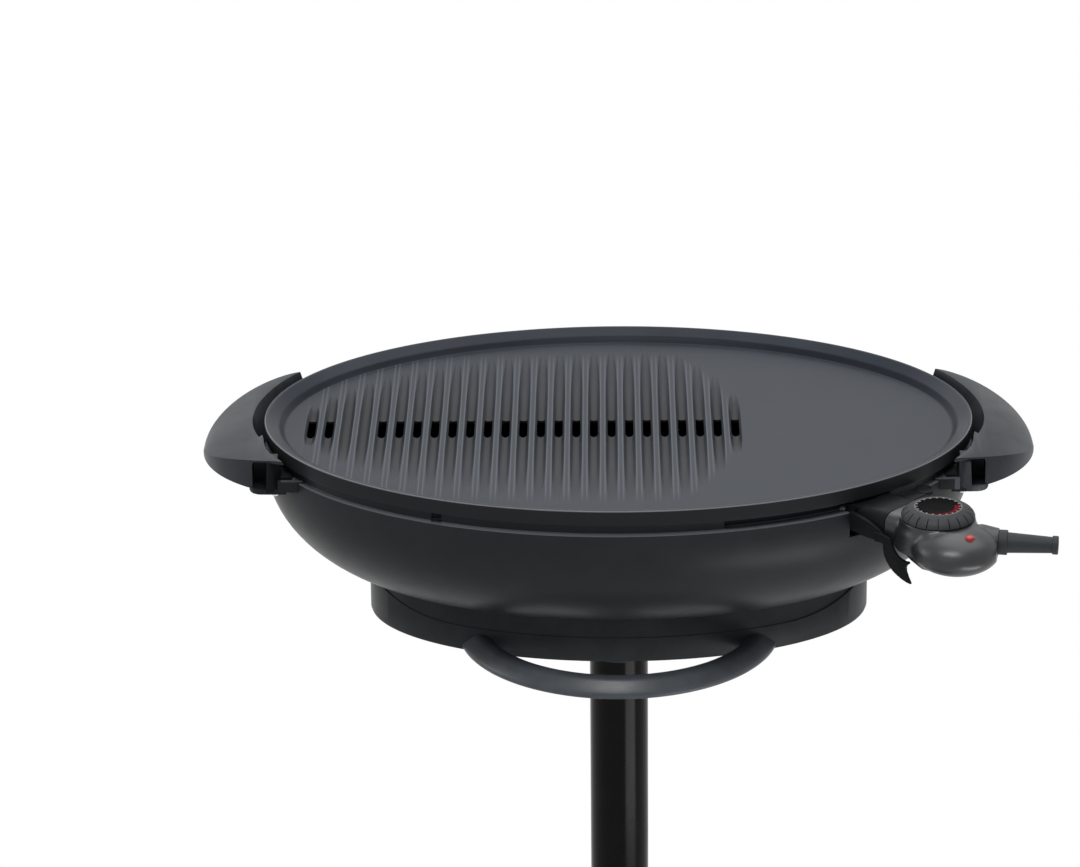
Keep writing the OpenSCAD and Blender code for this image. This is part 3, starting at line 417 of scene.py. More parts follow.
def cap_finish():
    """Near-black print on the dial's cap, with the inner part of the red wedge."""
    finish = Finish("cap_printed", (0.0025, 0.0025, 0.003), 0.5, Specular_IOR_Level=0.01)
    red = dial_print(finish)[2]
    face = finish.mottled((0.0022, 0.0022, 0.0026), (0.003, 0.003, 0.0035), 60)
    finish.feed("Base Color", finish.blend(red * 0.7, face, (0.22, 0.008, 0.010)))
    return finish.speckle(0.002, 0.00001)


def bracket_finish():
    """The brackets' dark plastic, with a painted highlight on the right web's face and a thin painted
    highlight along the ledge's edge.
    """
    finish = Finish("bracket_plastic", (0.014, 0.0148, 0.0165), 0.42, Specular_IOR_Level=0.12)
    x, y, z = finish.axes()
    out, side = abs(x), abs(y)
    # Painted highlight on the right brackets' web faces only, the side the light falls on.
    face = x.step(232.2, 232.8) * side.step(76.5, 78) * z.step(-6, -3, 1, 0)
    # Painted highlight along the ledge's edge.
    edge = out.step(218.5, 219) * out.step(233.5, 234, 1, 0) * side.step(79, 79.5) * z.step(-17.55, -17.3)
    skin = finish.mottled((0.0095, 0.010, 0.011), (0.012, 0.0126, 0.014))
    skin = finish.blend(face, skin, (0.066, 0.068, 0.078))
    finish.feed("Base Color", finish.blend(edge, skin, (0.055, 0.058, 0.064)))
    return finish.speckle()


# Colour, roughness, shine, and the grain's size and depth where they aren't the usual ones.
PLASTICS = {
    "ceramic": ((0.78, 0.75, 0.70), 0.75, 0.5, 0.0004, 0.00004),
    "hood_plastic": ((0.0046, 0.005, 0.0056), 0.45, 0.08),
    "rubber": ((0.018, 0.018, 0.018), 0.8, 0.3, 0.0004, 0.00006),
    "handle_plastic": ((0.019, 0.0215, 0.0265), 0.36, 0.13),
    "controller_plastic": ((0.011, 0.0117, 0.0135), 0.37, 0.48),
    "black_plastic": ((0.012, 0.012, 0.013), 0.45, 0.2),
    "relief_rubber": ((0.018, 0.019, 0.021), 0.55, 0.25, 0.0005, 0.00005),
    "lens_red": ((0.36, 0.012, 0.012), 0.25, 0.3, 0.002, 0.00001),
    "head_plastic": ((0.0215, 0.023, 0.0248), 0.40, 0.08),
    "rail_plastic": ((0.052, 0.058, 0.066), 0.34, 0.26),
    "pole_paint": ((0.002, 0.002, 0.0022), 0.20, 0.075, 0.0015, 0.00001),
    "base_plastic": ((0.012, 0.013, 0.014), 0.40, 0.2),
    "cast_weight": ((0.045, 0.045, 0.047), 0.7, 0.4, 0.002, 0.0002),
}
FINISHES = {slot: plastic(slot, *look) for slot, look in PLASTICS.items()}
FINISHES.update({
    "element_steel": metal("element_sheath", (0.035, 0.032, 0.030), 0.5, 0.0008),
    "steel": metal("zinc_steel", (0.62, 0.62, 0.63), 0.28, 0.0006),
    "tin_plate": metal("pressed_steel", (0.60, 0.60, 0.61), 0.30, 0.0012, (1, 0.1, 1)),
    "brass": metal("spring_brass", (0.60, 0.46, 0.22), 0.3, 0.0006),
    "plate_coating": plate_finish(),
    "bowl_enamel": bowl_finish(),
    "bracket_plastic": bracket_finish(),
    "dial_plastic": dial_finish(),
    "cap_gloss": cap_finish(),
})

SLOT_OF = {part["node"]: part["material_slot"] for part in frame["record"]["subparts"]}
for name, node in frame["nodes"].items():
    node.data.materials.clear()
    node.data.materials.append(FINISHES[SLOT_OF[name]].material)


# ---- Modelling ----


def at(x, y, z):
    """A point in the plate rim's millimetres, in metres."""
    return Vector((x * MM, y * MM, RIM + z * MM))


def clear():
    if bpy.context.object and bpy.context.object.mode != "OBJECT":
        bpy.ops.object.mode_set(mode="OBJECT")
    bpy.ops.object.select_all(action="DESELECT")


def hold(piece):
    clear()
    piece.select_set(True)
    bpy.context.view_layer.objects.active = piece


def edit(piece, kind="VERT"):
    hold(piece)
    bpy.ops.object.mode_set(mode="EDIT")
    bpy.ops.mesh.select_mode(type=kind)


def edit_all(piece):
    edit(piece)
    bpy.ops.mesh.select_all(action="SELECT")


def pick(piece, test, kind="VERT"):
    """Selects the vertices, edges or faces of the piece in edit mode that pass a test."""
    edit(piece, kind)
    mesh = bmesh.from_edit_mesh(piece.data)
    for part in (mesh.verts, mesh.edges, mesh.faces):
        for element in part:
            element.select = False
    for element in {"VERT": mesh.verts, "EDGE": mesh.edges, "FACE": mesh.faces}[kind]:
        if test(element):
            element.select_set(True)
    mesh.select_flush_mode()
    bmesh.update_edit_mesh(piece.data)


def named(name):
    piece = bpy.context.object
    piece.name = piece.data.name = name
    return piece


def tidy_mesh(piece):
    """Merges doubles, turns all faces outwards and puts the piece's place into its mesh."""
    edit_all(piece)
    bpy.ops.mesh.remove_doubles(threshold=1e-6)
    bpy.ops.mesh.normals_make_consistent(inside=False)
    hold(piece)
    bpy.ops.object.transform_apply(location=True, rotation=True, scale=True)
    return piece


def drawn(name, profile, sides=96, middle=(0, 0), base=RIM, filled=True):
    """A round or oval body: a circle drawn up through rings of (half length, half width, height) in mm."""
    clear()
    centre = Vector((middle[0] * MM, middle[1] * MM, base + profile[0][2] * MM))
    fill = "NGON" if filled else "NOTHING"
    bpy.ops.mesh.primitive_circle_add(vertices=sides, radius=MM, fill_type=fill, location=centre)
    piece = named(name)
    bpy.ops.object.mode_set(mode="EDIT")
    bpy.ops.mesh.select_all(action="SELECT")
    bpy.ops.transform.resize(value=(profile[0][0], profile[0][1], 1), center_override=centre)
    for old, new in zip(profile, profile[1:]):
        lift = (0, 0, (new[2] - old[2]) * MM)
        bpy.ops.mesh.extrude_region_move(TRANSFORM_OT_translate={"value": lift})
        bpy.ops.transform.resize(value=(new[0] / old[0], new[1] / old[1], 1), center_override=centre)
    return tidy_mesh(piece)


def rounds(*profile):
    """The rings of a round body, from pairs of radius and height."""
    return [(radius, radius, height) for radius, height in profile]


def block(name, low, high):
    """A box between two corners in the rim's millimetres."""
    clear()
    low, high = at(*low), at(*high)
    bpy.ops.mesh.primitive_cube_add(size=1, location=(low + high) / 2, scale=high - low)
    return tidy_mesh(named(name))


def sheet(name, points):
    """A flat face through the points."""
    clear()
    bpy.ops.mesh.primitive_circle_add(
        vertices=len(points), radius=1, fill_type="NGON", location=(0, 0, 0))
    piece = named(name)
    for vertex, point in zip(piece.data.vertices, points):
        vertex.co = point
    return piece


def sawn(name, outline, axis, low, high):
    """A board: an outline in the two other axes, extruded along the axis from low to high, in mm."""
    along = "XYZ".index(axis)
    piece = sheet(name, [at(*point[:along], low, *point[along:]) for point in outline])
    edit_all(piece)
    step = Vector([k == along for k in range(3)]) * (high - low) * MM
    bpy.ops.mesh.extrude_region_move(TRANSFORM_OT_translate={"value": step})
    return tidy_mesh(piece)


def spin(degrees, about, axis="Z"):
    """Turns what is selected in edit mode, anticlockwise seen from the axis's tip."""
    bpy.ops.transform.rotate(value=-math.radians(degrees), orient_axis=axis, center_override=about)


def move(x, y, z):
    """Moves what is selected in edit mode, in mm."""
    bpy.ops.transform.translate(value=Vector((x, y, z)) * MM)


ACROSS, FRONT_TO_BACK = (True, False, False), (False, True, False)


def copied(piece, name, turn=0.0, about=(0, 0, 0), flip=None):
    """A copy with its own mesh, mirrored or turned about Z."""
    clear()
    other = piece.copy()
    other.data = piece.data.copy()
    bpy.context.scene.collection.objects.link(other)
    other.name = other.data.name = name
    edit_all(other)
    if flip:
        bpy.ops.transform.mirror(constraint_axis=flip, center_override=about)
        bpy.ops.mesh.normals_make_consistent(inside=False)
    if turn:
        spin(turn, about)
    clear()
    return other


def carve(piece, *tools, way="DIFFERENCE"):
    """Cuts the piece with each tool, or joins or trims it, and throws the tool away."""
    for tool in tools:
        hold(piece)
        bpy.ops.object.modifier_add(type="BOOLEAN")
        cut = piece.modifiers[-1]
        cut.object, cut.operation, cut.solver = tool, way, "EXACT"
        bpy.ops.object.modifier_apply(modifier=cut.name)
        bpy.data.objects.remove(tool)
    return piece


def apply_modifier(piece, kind, **settings):
    hold(piece)
    bpy.ops.object.modifier_add(type=kind)
    added = piece.modifiers[-1]
    for name, value in settings.items():
        setattr(added, name, value)
    bpy.ops.object.modifier_apply(modifier=added.name)
    return piece


def ease(piece, width, segments=3, angle=32):
    """Rounds the sharp edges by a width in mm."""
    return apply_modifier(
        piece, "BEVEL", width=width * MM, segments=segments, limit_method="ANGLE",
        angle_limit=math.radians(angle), miter_outer="MITER_ARC", use_clamp_overlap=True)


def together(name, pieces):
    hold(pieces[0])
    for other in pieces:
        other.select_set(True)
    bpy.ops.object.join()
    return named(name)


def done(piece, body, slot, *nodes, smooth=35, level=False):
    """Shades a finished piece, gives it its finish, and hangs it on its body.

    A level piece has large flat faces, which keep an even shade up to their edges.
    """
    hold(piece)
    bpy.ops.object.shade_smooth_by_angle(angle=math.radians(smooth))
    if level:
        apply_modifier(piece, "WEIGHTED_NORMAL", weight=100, keep_sharp=True)
    piece.data.materials.clear()
    piece.data.materials.append(FINISHES[slot].material)
    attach(piece, body)
    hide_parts(*nodes)
    clear()


def arc(centre, radius, start, end, count):
    """Points on a circle's arc, in degrees."""
    turns = [math.radians(start + (end - start) * k / count) for k in range(count + 1)]
    return [(centre[0] + radius * math.cos(turn), centre[1] + radius * math.sin(turn)) for turn in turns]


# ---- Cooking plate ----


def inset(gap, z):
    """A ring of the plate's oval drawn in by a gap, at a height."""
    return (PLATE_A - gap, PLATE_B - gap, z)


def groove_reach(x):
    """How far a groove runs to each side: within the floor's oval and the arc that ends the ribs."""
    inside = 155.5 * math.sqrt(max(0, 1 - (x / 225) ** 2))
    arc_end = math.sqrt(max(0, 270 ** 2 - (x + 180) ** 2))
    return min(inside, arc_end)


def groove_tool(x):
    """A cutter with a rounded trough, deepest at the drain slot, which rises to nothing at both ends."""
    half, depth = 4.3, 3.1
    flare, above = 0.55, 1.2
    reach = groove_reach(x)
    flat = reach * 0.36
    rising = (0, 0.35, 0.56, 0.72, 0.84, 0.93, 1)
    across = [-u for u in rising[:0:-1]] + list(rising)
    outline = [(x + u * half, FLOOR_Z + (depth * abs(u) ** 2.2 - depth)) for u in across]
    outline += [(x + half + flare, FLOOR_Z + above), (x - half - flare, FLOOR_Z + above)]
    tool = sawn("groove_tool", outline, "Y", -flat, flat)
    run, rise = (reach - flat) * MM, depth * MM
    for side in (1, -1):
        end = at(0, side * flat, 0).y
        pick(tool, lambda face: abs(face.calc_center_median().y - end) < 1e-6, "FACE")
        for part, lift in ((0.3, 0.16), (0.3, 0.28), (0.4, 0.57)):
            step = (0, side * run * part, rise * lift)
            bpy.ops.mesh.extrude_region_move(TRANSFORM_OT_translate={"value": step})
    return tidy_mesh(tool)


def slot_tool(x):
    """A drain slot with round ends."""
    half, run = 2.9, 13.2
    outline = arc((x, run), half, 0, 180, 12) + arc((x, -run), half, 180, 360, 12)
    return sawn("slot_tool", outline, "Z", -16, -6)


def is_crest(edge):
    """Whether an edge runs along the top of a groove, where the trough breaks through the floor."""
    spot = edge.verts[0].co / MM
    return (
        len(edge.link_faces) == 2
        and edge.calc_face_angle(0) > 0.45
        and all(abs(vertex.co.z - RIM - FLOOR_Z * MM) < 3e-5 for vertex in edge.verts)
        and (spot.x / 231.5) ** 2 + (spot.y / 162) ** 2 < 1
    )


def build_plate():
    """The oval plate: a raised rim with a cove inside it, rounded ribs and a row of drain slots."""
    foot = [inset(8.5, -13), inset(8.5, -11.3), inset(1.0, -11.3), inset(0.35, -11.0), inset(0, -10.4)]
    edge = [inset(0, -1.3), inset(0.25, -0.55), inset(0.75, -0.1), inset(1.3, 0), inset(2.1, -0.05)]
    slope = [inset(2.8, -0.35), inset(9.5, -4.0), inset(10.2, -4.5), inset(10.9, -5.2)]
    cove = [inset(13.2, -7.7), inset(14.0, -8.2), inset(15.2, FLOOR_Z)]
    plate = drawn("cooking_plate", foot + edge + slope + cove, 240)
    carve(plate, together("groove_tools", [groove_tool(x) for x in GROOVES]))
    pick(plate, is_crest, "EDGE")
    bpy.ops.mesh.bevel(offset=0.75 * MM, segments=3, affect="EDGES", clamp_overlap=True)
    slots = [slot_tool(x) for k, x in enumerate(GROOVES) if k not in SLOTLESS]
    carve(plate, together("slot_tools", slots))
    done(plate, "plate", "plate_coating", "grill_plate", smooth=30, level=True)


build_plate()


# ---- Bowl ----


def bowl_ring(turn, wall=0.0):
    """A ring of the bowl's quarter-round side: 0 degrees at its straight edge, 90 at its floor."""
    core, curve, drop, shoulder = 110, 140, 93, -30
    half = core + (curve - wall) * math.cos(math.radians(turn))
    return (half, half - (PLATE_A - PLATE_B), shoulder - (drop - wall) * math.sin(math.radians(turn)))


def to_plug(piece):
    """Moves a piece drawn along +X from the origin to where the controller plugs in."""
    edit_all(piece)
    spin(PLUG_TURN, (0, 0, 0))
    move(*PLUG, 0)
    clear()
    return piece


def front_wall(name, outer, inner, low, high):
    """A thin wall along the front edge of the plate's oval, between two gaps from it."""
    def edge(gap):
        return [(x, -(PLATE_B - gap) * math.sqrt(1 - (x / (PLATE_A - gap)) ** 2)) for x in range(66, 155, 4)]
    return sawn(name, edge(outer) + edge(inner)[::-1], "Z", low, high)


def build_bowl():
    """The bowl: its curved side, a rolled lip and an upstand, open where the controller plugs in."""
    outer = [bowl_ring(turn) for turn in range(90, -1, -3)]
    lip = [
        inset(0, BOWL_LIP - 1.4), inset(0.25, BOWL_LIP - 0.6), inset(0.9, BOWL_LIP - 0.08),
        inset(1.5, BOWL_LIP), inset(3.1, BOWL_LIP), inset(3.7, BOWL_LIP + 0.2), inset(4.0, BOWL_LIP + 0.9),
    ]
    upstand = [
        inset(4.0, -11.9), inset(4.5, -11.4), inset(6.0, -11.4), inset(6.5, -11.9),
        inset(6.5, BOWL_LIP - 3), inset(2.5, BOWL_LIP - 6),
    ]
    inner = [bowl_ring(turn, 2.5) for turn in range(0, 91, 3)]
    bowl = drawn("bowl_shell", outer + lip + upstand + inner, 240)
    carve(bowl, block("notch_back", (-130, -149.5, -23), (-117.5, -146.5, -13.5)), way="UNION")
    carve(bowl, block("notch_tool", (-127.2, -181, BOWL_LIP - 0.5), (-120.2, -148.2, 0)))
    carve(bowl, block("upstand_tool", (71, -181, BOWL_LIP), (181, -85, 0)))
    wall = front_wall("baffle_wall", 8.7, 10.2, -25.5, -13.5)
    shelf = front_wall("baffle_shelf", 1.6, 10.2, -26, -24.2)
    carve(bowl, wall, shelf, way="UNION")
    carve(bowl, to_plug(block("window_tool", (-75, -18.3, -37), (45, 18.3, 0))))
    done(bowl, "bowl", "bowl_enamel", "bowl", smooth=32)


build_bowl()


# ---- Handles and brackets ----

HANDLE_END = 243  # where the handle's flat front end meets its bracket
FOOT_KINK = -34  # where the grip's inner edge turns back beside the front bracket

# How far the grip's inner edge stands off the plate, at places from the front to the back.
GRIP_GAP = [
    (-100, 10.2), (-88, 9.9), (-80, 9.5), (-70, 8.9), (-60, 8.0), (-52, 6.7), (-45, 5.3), (-38, 4.0),
    (-33, 3.4), (-30.6, 3.2), (FOOT_KINK, 6.0), (-28, 6.4), (-20, 7.1), (-10, 8.0), (0, 9.0), (10, 9.8),
    (20, 10.6), (30, 11.2), (40, 11.4), (50, 11.3), (60, 10.9), (70, 10.2), (80, 9.3), (88, 8.8),
    (100, 8.5),
]


def handle_top(x):
    """Height of a handle's crown at a distance from the middle."""
    t = min(1.0, max(0.0, (x - 232.5) / 61.5))
    return -25 + 24.5 * (1 - t ** 1.4) ** 0.55


def beside_plate(y, gap):
    """The place at a distance outside the plate's oval."""
    return (PLATE_A + gap) * math.sqrt(max(0.0, 1 - (y / (PLATE_B + gap)) ** 2)), y


def strip(name, stations, gap, width, low, high):
    """A strip that follows the outside of the plate's oval at a gap."""
    inner = [beside_plate(y, gap) for y in stations]
    return sawn(name, [(x + width, y) for x, y in inner] + inner[::-1], "Z", low, high)


def grip_tool(low, high, foot):
    """What the handle leaves free around the plate: wide at its top, a narrow gap at its foot."""
    top = [beside_plate(y, foot + (gap - foot) * 1.36) for y, gap in GRIP_GAP]
    bottom = [beside_plate(-30.0 if y == FOOT_KINK else y, foot) for y, gap in GRIP_GAP]
    tool = sawn("grip_tool", top + [(150, 100), (150, -100)], "Z", low, high)
    for vertex in tool.data.vertices:
        for (x, y), (u, v) in zip(top, bottom):
            if (vertex.co - at(x, y, low)).length < 1e-5:
                vertex.co = at(u, v, low)
                break
    return tool


def build_handles():
    """The crescent grips: a crown that falls outwards, pockets at both ends and a lip beside the plate."""
    inner, reach, foot, half = 222.5, 71.5, -25, 88
    crown = [inner + reach * math.sin(math.radians(90 * k / 40)) for k in range(41)]
    outline = [(inner, foot)] + [(x, handle_top(x)) for x in crown[:-1]] + [(inner + reach, foot)]
    handle = sawn("handle_right_grip", outline, "Y", -half, half)
    carve(handle, drawn("crescent_tool", [(94, 93, -30), (94, 93, 5)], 160, (200, 0)), way="INTERSECT")
    carve(handle, strip("inner_lip", range(-46, 59, 4), 0, 12, -29, -24), way="UNION")
    carve(handle, grip_tool(-30, 5, 2.4))
    carve(handle, strip("inner_sill", range(-58, 63, 4), 0.4, 9, -30, -28.02), way="UNION")
    skin = 1.3
    low = handle_top(HANDLE_END) - skin
    roof = [(x, handle_top(x) - skin) for x in range(245, 255, 2)] + [(254, -8), (254, -26)]
    front = [(220.5, -26), (220.5, low), (HANDLE_END, low)]
    back = [(244.5, -26), (244.5, handle_top(244.5) - skin)]
    for start, ends in ((front, (-115, -62)), (back, (74, 115))):
        carve(handle, sawn("pocket_tool", start + roof, "Y", *ends))
    ease(handle, 0.7, 3, 50)
    left = copied(handle, "handle_left_grip", flip=ACROSS)
    done(handle, "bowl", "handle_plastic", "handle_right", smooth=40)
    done(left, "bowl", "handle_plastic", "handle_left", smooth=40)


def bracket_web():
    """The web under the handle's end, whose inner face leans outwards to the handle."""
    top = handle_top(HANDLE_END) - 1.4
    web = sawn("brackets_right", [(-25, 233.2), (-25, 244.2), (top, HANDLE_END), (top, 236.5)], "Y", -86, -66)
    for vertex in web.data.vertices:
        vertex.co = at(vertex.co.z / MM - RIM / MM, vertex.co.y / MM, vertex.co.x / MM)
    return tidy_mesh(web)


def front_bracket():
    """The front right bracket: the web, a ledge at the bowl's edge, and a boss for the screw."""
    web = bracket_web()
    carve(web, sawn("slant_tool", [(231, -72), (246, -88), (231, -95)], "Z", -30, 2))
    boss = rounds((7.6, -28.6), (8.7, -28.1), (9.2, -27), (9.2, -24))
    carve(
        web,
        block("ledge", (214, -83.5, -25), (236, -81.4, -16.6)),
        block("ledge_floor", (214, -82, -25), (236, -60, -22.4)),
        block("inner_web", (226.5, -76, -25), (236, -61, -16.8)),
        drawn("boss", boss, 48, (247.5, -71)),
        block("neck", (231, -74.5, -30.3), (246, -67.5, -24.5)),
        block("shelf", (233, -66, -27), (258, -42, -25.05)),
        way="UNION",
    )
    carve(web, drawn("bowl_tool", [(246.4, 176.9, -45), (246.4, 176.9, 0)], 240))
    carve(web, drawn("bowl_tool", [(250.4, 180.9, -45), (250.4, 180.9, BOWL_LIP)], 240))
    return ease(web, 0.4, 2, 50)


def build_brackets():
    front = front_bracket()
    back = copied(front, "bracket_back", flip=FRONT_TO_BACK)
    carve(back, block("web_tool", (200, 55, -15), (262, 100, 5)))
    right = together("brackets_right", [front, back])
    left = copied(right, "brackets_left", flip=ACROSS)
    done(right, "bowl", "bracket_plastic", "bracket_right")
    done(left, "bowl", "bracket_plastic", "bracket_left")


def build_handle_screws():
    """Four screws up through the bosses, with washer heads, cross recesses and short shanks."""
    x, y, face = 238.5, -71, -31.7
    rings = rounds(
        (1.4, face), (2.6, face), (3, -31.4), (3, -30.6), (1.5, -30.5), (1.5, -16), (0.8, -15.2))
    screw = drawn("handle_screw", rings, 32, (x, y))
    for wide, deep in ((0.35, 1.9), (1.9, 0.35)):
        carve(screw, block("cross_recess", (x - wide, y - deep, -32), (x + wide, y + deep, -31)))
    others = [copied(screw, "handle_screw", flip=flip) for flip in (ACROSS, FRONT_TO_BACK)]
    others.append(copied(others[0], "handle_screw", flip=FRONT_TO_BACK))
    done(together("handle_screw_set", [screw] + others), "bowl", "steel", "handle_screws")


build_handles()
build_brackets()
build_handle_screws()


# ---- Stand head, rail and pole ----

HEAD_A, HEAD_B, HEAD_UNDER = 178.0, 103.0, -146.5
WAVE_LOW = -128  # the head's edge along its front and back
POLE_R, POLE_LIP_R, POLE_BORE_R = 21, 20.4, 19.5
SOCKET_R = 21.3  # sockets and collars fit around the pole


def wave_z(x):
    """Height of the head's edge: high at its two ends, low along its front and back."""
    t = min(1.0, max(0.0, (abs(x) - HEAD_A * 0.66) / (HEAD_A * 0.34)))
    return WAVE_LOW + 15.5 * t ** 2.2


def build_head():
    """The head's wall leans in above its wavy edge and follows the bowl's underside to the seat ring."""
    saddle, saddle_z = 174.5, -115.7
    outside = [
        (HEAD_A - 2.2, HEAD_B - 2.2, HEAD_UNDER), (HEAD_A - 0.7, HEAD_B - 0.7, HEAD_UNDER + 0.6),
        (HEAD_A, HEAD_B, HEAD_UNDER + 2.4), (HEAD_A, HEAD_B, WAVE_LOW - 0.4),
        (HEAD_A - 0.4, HEAD_B - 0.15, WAVE_LOW + 0.1), (HEAD_A - 1.6, HEAD_B - 0.5, WAVE_LOW + 0.25),
        (HEAD_A - 2.2, HEAD_B - 0.7, WAVE_LOW + 1),
    ]
    top = [(saddle, 99.5, saddle_z), (168, 94.8, -117.2), (159.5, 91, -118.2), (156.5, 88, -118.3)]
    inside = [
        (156.5, 88, -122), (163, 92, -132), (HEAD_A - 3, HEAD_B - 3, -140), (HEAD_A - 3, HEAD_B - 3, -144)]
    wall = drawn("stand_head_shell", outside + top + inside, 240)
    for vertex in wall.data.vertices:
        height, x = (vertex.co.z - RIM) / MM, vertex.co.x / MM
        if WAVE_LOW - 0.5 < height < WAVE_LOW + 1.1:
            vertex.co.z += (wave_z(x) - WAVE_LOW) * MM
        elif abs(height - saddle_z) < 0.01:
            vertex.co.z += 1.7 * (x / saddle) ** 2 * MM
    seat = [(159, 90.5, -145), (159, 90.5, -120), (156.6, 88.1, -120), (156.6, 88.1, -144)]
    carve(wall, drawn("seat_wall", seat, 200), way="UNION")
    for x in (-80, 80):
        for y in (-22, 22):
            carve(wall, drawn("seat_post", rounds((11, -145), (11, -128)), 32, (x, y)), way="UNION")
    done(wall, "stand", "head_plastic", "stand_head", smooth=40)


# Outwards and upwards from the bar's middle, clockwise from its inner side.
RAIL_SECTION = [
    (-9.5, 0), (-9.35, 1.9), (-8.7, 3.6), (-7.5, 5.0), (-5.8, 6.0), (-3.8, 6.5), (-1.8, 6.55),
    (-0.2, 6.2), (1.2, 5.4), (2.4, 4.4), (5.2, 1.6), (8.0, -1.2), (8.9, -2.4), (9.3, -3.7), (9.0, -5.0),
    (8.0, -6.0), (6.2, -6.5), (3, -6.6), (-3, -6.6), (-6, -6.0), (-8, -4.6), (-9.2, -2.6)]


def build_rail():
    """The bow of the rail: a full, nearly square bar that ends flat under the head."""
    middle, middle_z, bow, steps = -55, -139, 104, 96
    half_turn = 77
    start = math.radians(-90 - half_turn)
    rail = sheet("front_rail_bow", [
        at((bow + out) * math.cos(start), middle + (bow + out) * math.sin(start), middle_z + rise)
        for out, rise in RAIL_SECTION])
    edit_all(rail)
    for _ in range(steps):
        bpy.ops.mesh.extrude_region_move(TRANSFORM_OT_translate={"value": (0, 0, 0)})
        spin(2 * half_turn / steps, at(0, middle, middle_z))
    ease(tidy_mesh(rail), 0.5, 2, 50)
    done(rail, "stand", "rail_plastic", "front_rail", smooth=50)


def build_pole():
    """The pole's two tubes with their rolled ends."""
    roll = 0.7
    for name, node in (("pole_tube_upper", "pole_upper"), ("pole_tube_lower", "pole_lower")):
        low, high = (corner[2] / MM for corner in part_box(node))
        rings = rounds(
            (POLE_BORE_R, low), (POLE_LIP_R, low), (POLE_R, low + roll), (POLE_R, high - roll),
            (POLE_LIP_R, high), (POLE_BORE_R, high), (POLE_BORE_R, low))
        done(drawn(name, rings, base=0, filled=False), "stand", "pole_paint", node, smooth=40)


def build_socket():
    """The pole's upper socket: a screwed flange and a tube that tapers to nothing around the pole."""
    flange = HEAD_UNDER - 3
    low = flange - 34
    rings = rounds(
        (SOCKET_R, low), (22.0, low), (24.2, low + 9), (24.9, low + 14), (24.9, HEAD_UNDER - 7),
        (26.5, HEAD_UNDER - 4.2), (29, flange), (51.4, flange), (52, HEAD_UNDER - 2.4),
        (52, HEAD_UNDER - 0.1), (SOCKET_R, HEAD_UNDER - 0.1), (SOCKET_R, low))
    tube = drawn("pole_socket_tube", rings, filled=False)
    for x, y in arc((0, 0), 43, 45, 315, 3):
        hole = rounds((2.2, HEAD_UNDER - 5), (2.2, HEAD_UNDER + 1))
        carve(tube, drawn("socket_hole", hole, 24, (x, y)))
    done(tube, "stand", "black_plastic", "pole_socket")


def dome_height(r):
    """Height of the base's dome above the floor, at a distance from its middle."""
    return 16 + 28 * math.cos(math.radians(90) * min(1, max(0, r - 24.55) / 195.45)) ** 1.1


def build_base():
    """The weighted foot's cover, a shallow dome with a rolled edge, and the collar around the pole."""
    skin, inner, foot = 3, 217.2, 1.5
    reach = [25.6 + 191.4 * k / 28 for k in range(28, -1, -1)]
    edge = [(inner, foot), (219.3, foot), (220, 2.2), (220, 12.6), (219.6, 14.2), (218.5, 15.3)]
    crown = [(r, dome_height(r)) for r in reach]
    under = [(r, dome_height(r) - skin) for r in reach[::-1]]
    dome = rounds(*edge, *crown, *under, (inner, 11), (inner, foot))
    cover = drawn("base_dome_cover", dome, 160, base=0, filled=False)
    done(cover, "stand", "base_plastic", "base_dome", smooth=32)

    top, skirt = 70.2, dome_height(33.5)
    collar = rounds(
        (SOCKET_R, top), (24.85, top), (24.85, 44.4), (33.2, skirt + 0.5), (33.6, skirt + 0.9),
        (33.6, 47.2), (33.0, 48.2), (29.4, 51.2), (27.9, 53.4), (27.4, 56), (27.05, 71.4), (26.4, 72.7),
        (25.2, 73.4), (SOCKET_R, 73.5), (SOCKET_R, top))
    ring = drawn("base_collar_ring", collar, base=0, filled=False)
    done(ring, "stand", "base_plastic", "base_collar", smooth=32)


build_head()
build_rail()
build_pole()
build_socket()
build_base()


# ---- Controller ----

SEAM_Z = -26  # between the two shells
TAIL, TAIL_TURN = (71.3, 17.7, -25), 31  # where the cord's strain relief leaves the shells
HOOD_HALF, HOOD_TOP, HOOD_LOW, HOOD_CORNER = 19.5, -12.0, -31.0, 7.5


def turned(name, profile, sides=64):
    """A round bar of (distance along it, radius), which runs out along the controller's tail."""
    bar = drawn(name, [(r, r, s) for s, r in profile], sides, base=0)
    edit_all(bar)
    spin(90, (0, 0, 0), "Y")
    spin(TAIL_TURN, (0, 0, 0))
    bpy.ops.transform.translate(value=at(*TAIL))
    clear()
    return bar


def egg(name, middle, radii, top=1.0):
    """A ball with three radii, and a flatter or fuller upper half."""
    clear()
    bpy.ops.mesh.primitive_uv_sphere_add(segments=64, ring_count=32, radius=1, location=(0, 0, 0))
    ball = named(name)
    for vertex in ball.data.vertices:
        x, y, z = vertex.co
        height = radii[2] * (top if z > 0 else 1)
        vertex.co = at(middle[0] + x * radii[0], middle[1] + y * radii[1], middle[2] + z * height)
    return tidy_mesh(ball)


def hood_section(half=HOOD_HALF, top=HOOD_TOP, low=HOOD_LOW, corner=HOOD_CORNER, foot=0.0):
    """The barrel outline that the hood and the controller's face share."""
    outline = arc((corner - half, top - corner), corner, 180, 90, 10)
    outline += arc((half - corner, top - corner), corner, 90, 0, 10)
    if not foot:
        return outline + [(half, low), (-half, low)]
    outline += arc((half - foot, low + foot), foot, 0, -90, 6)
    return outline + arc((foot - half, low + foot), foot, -90, -180, 6)


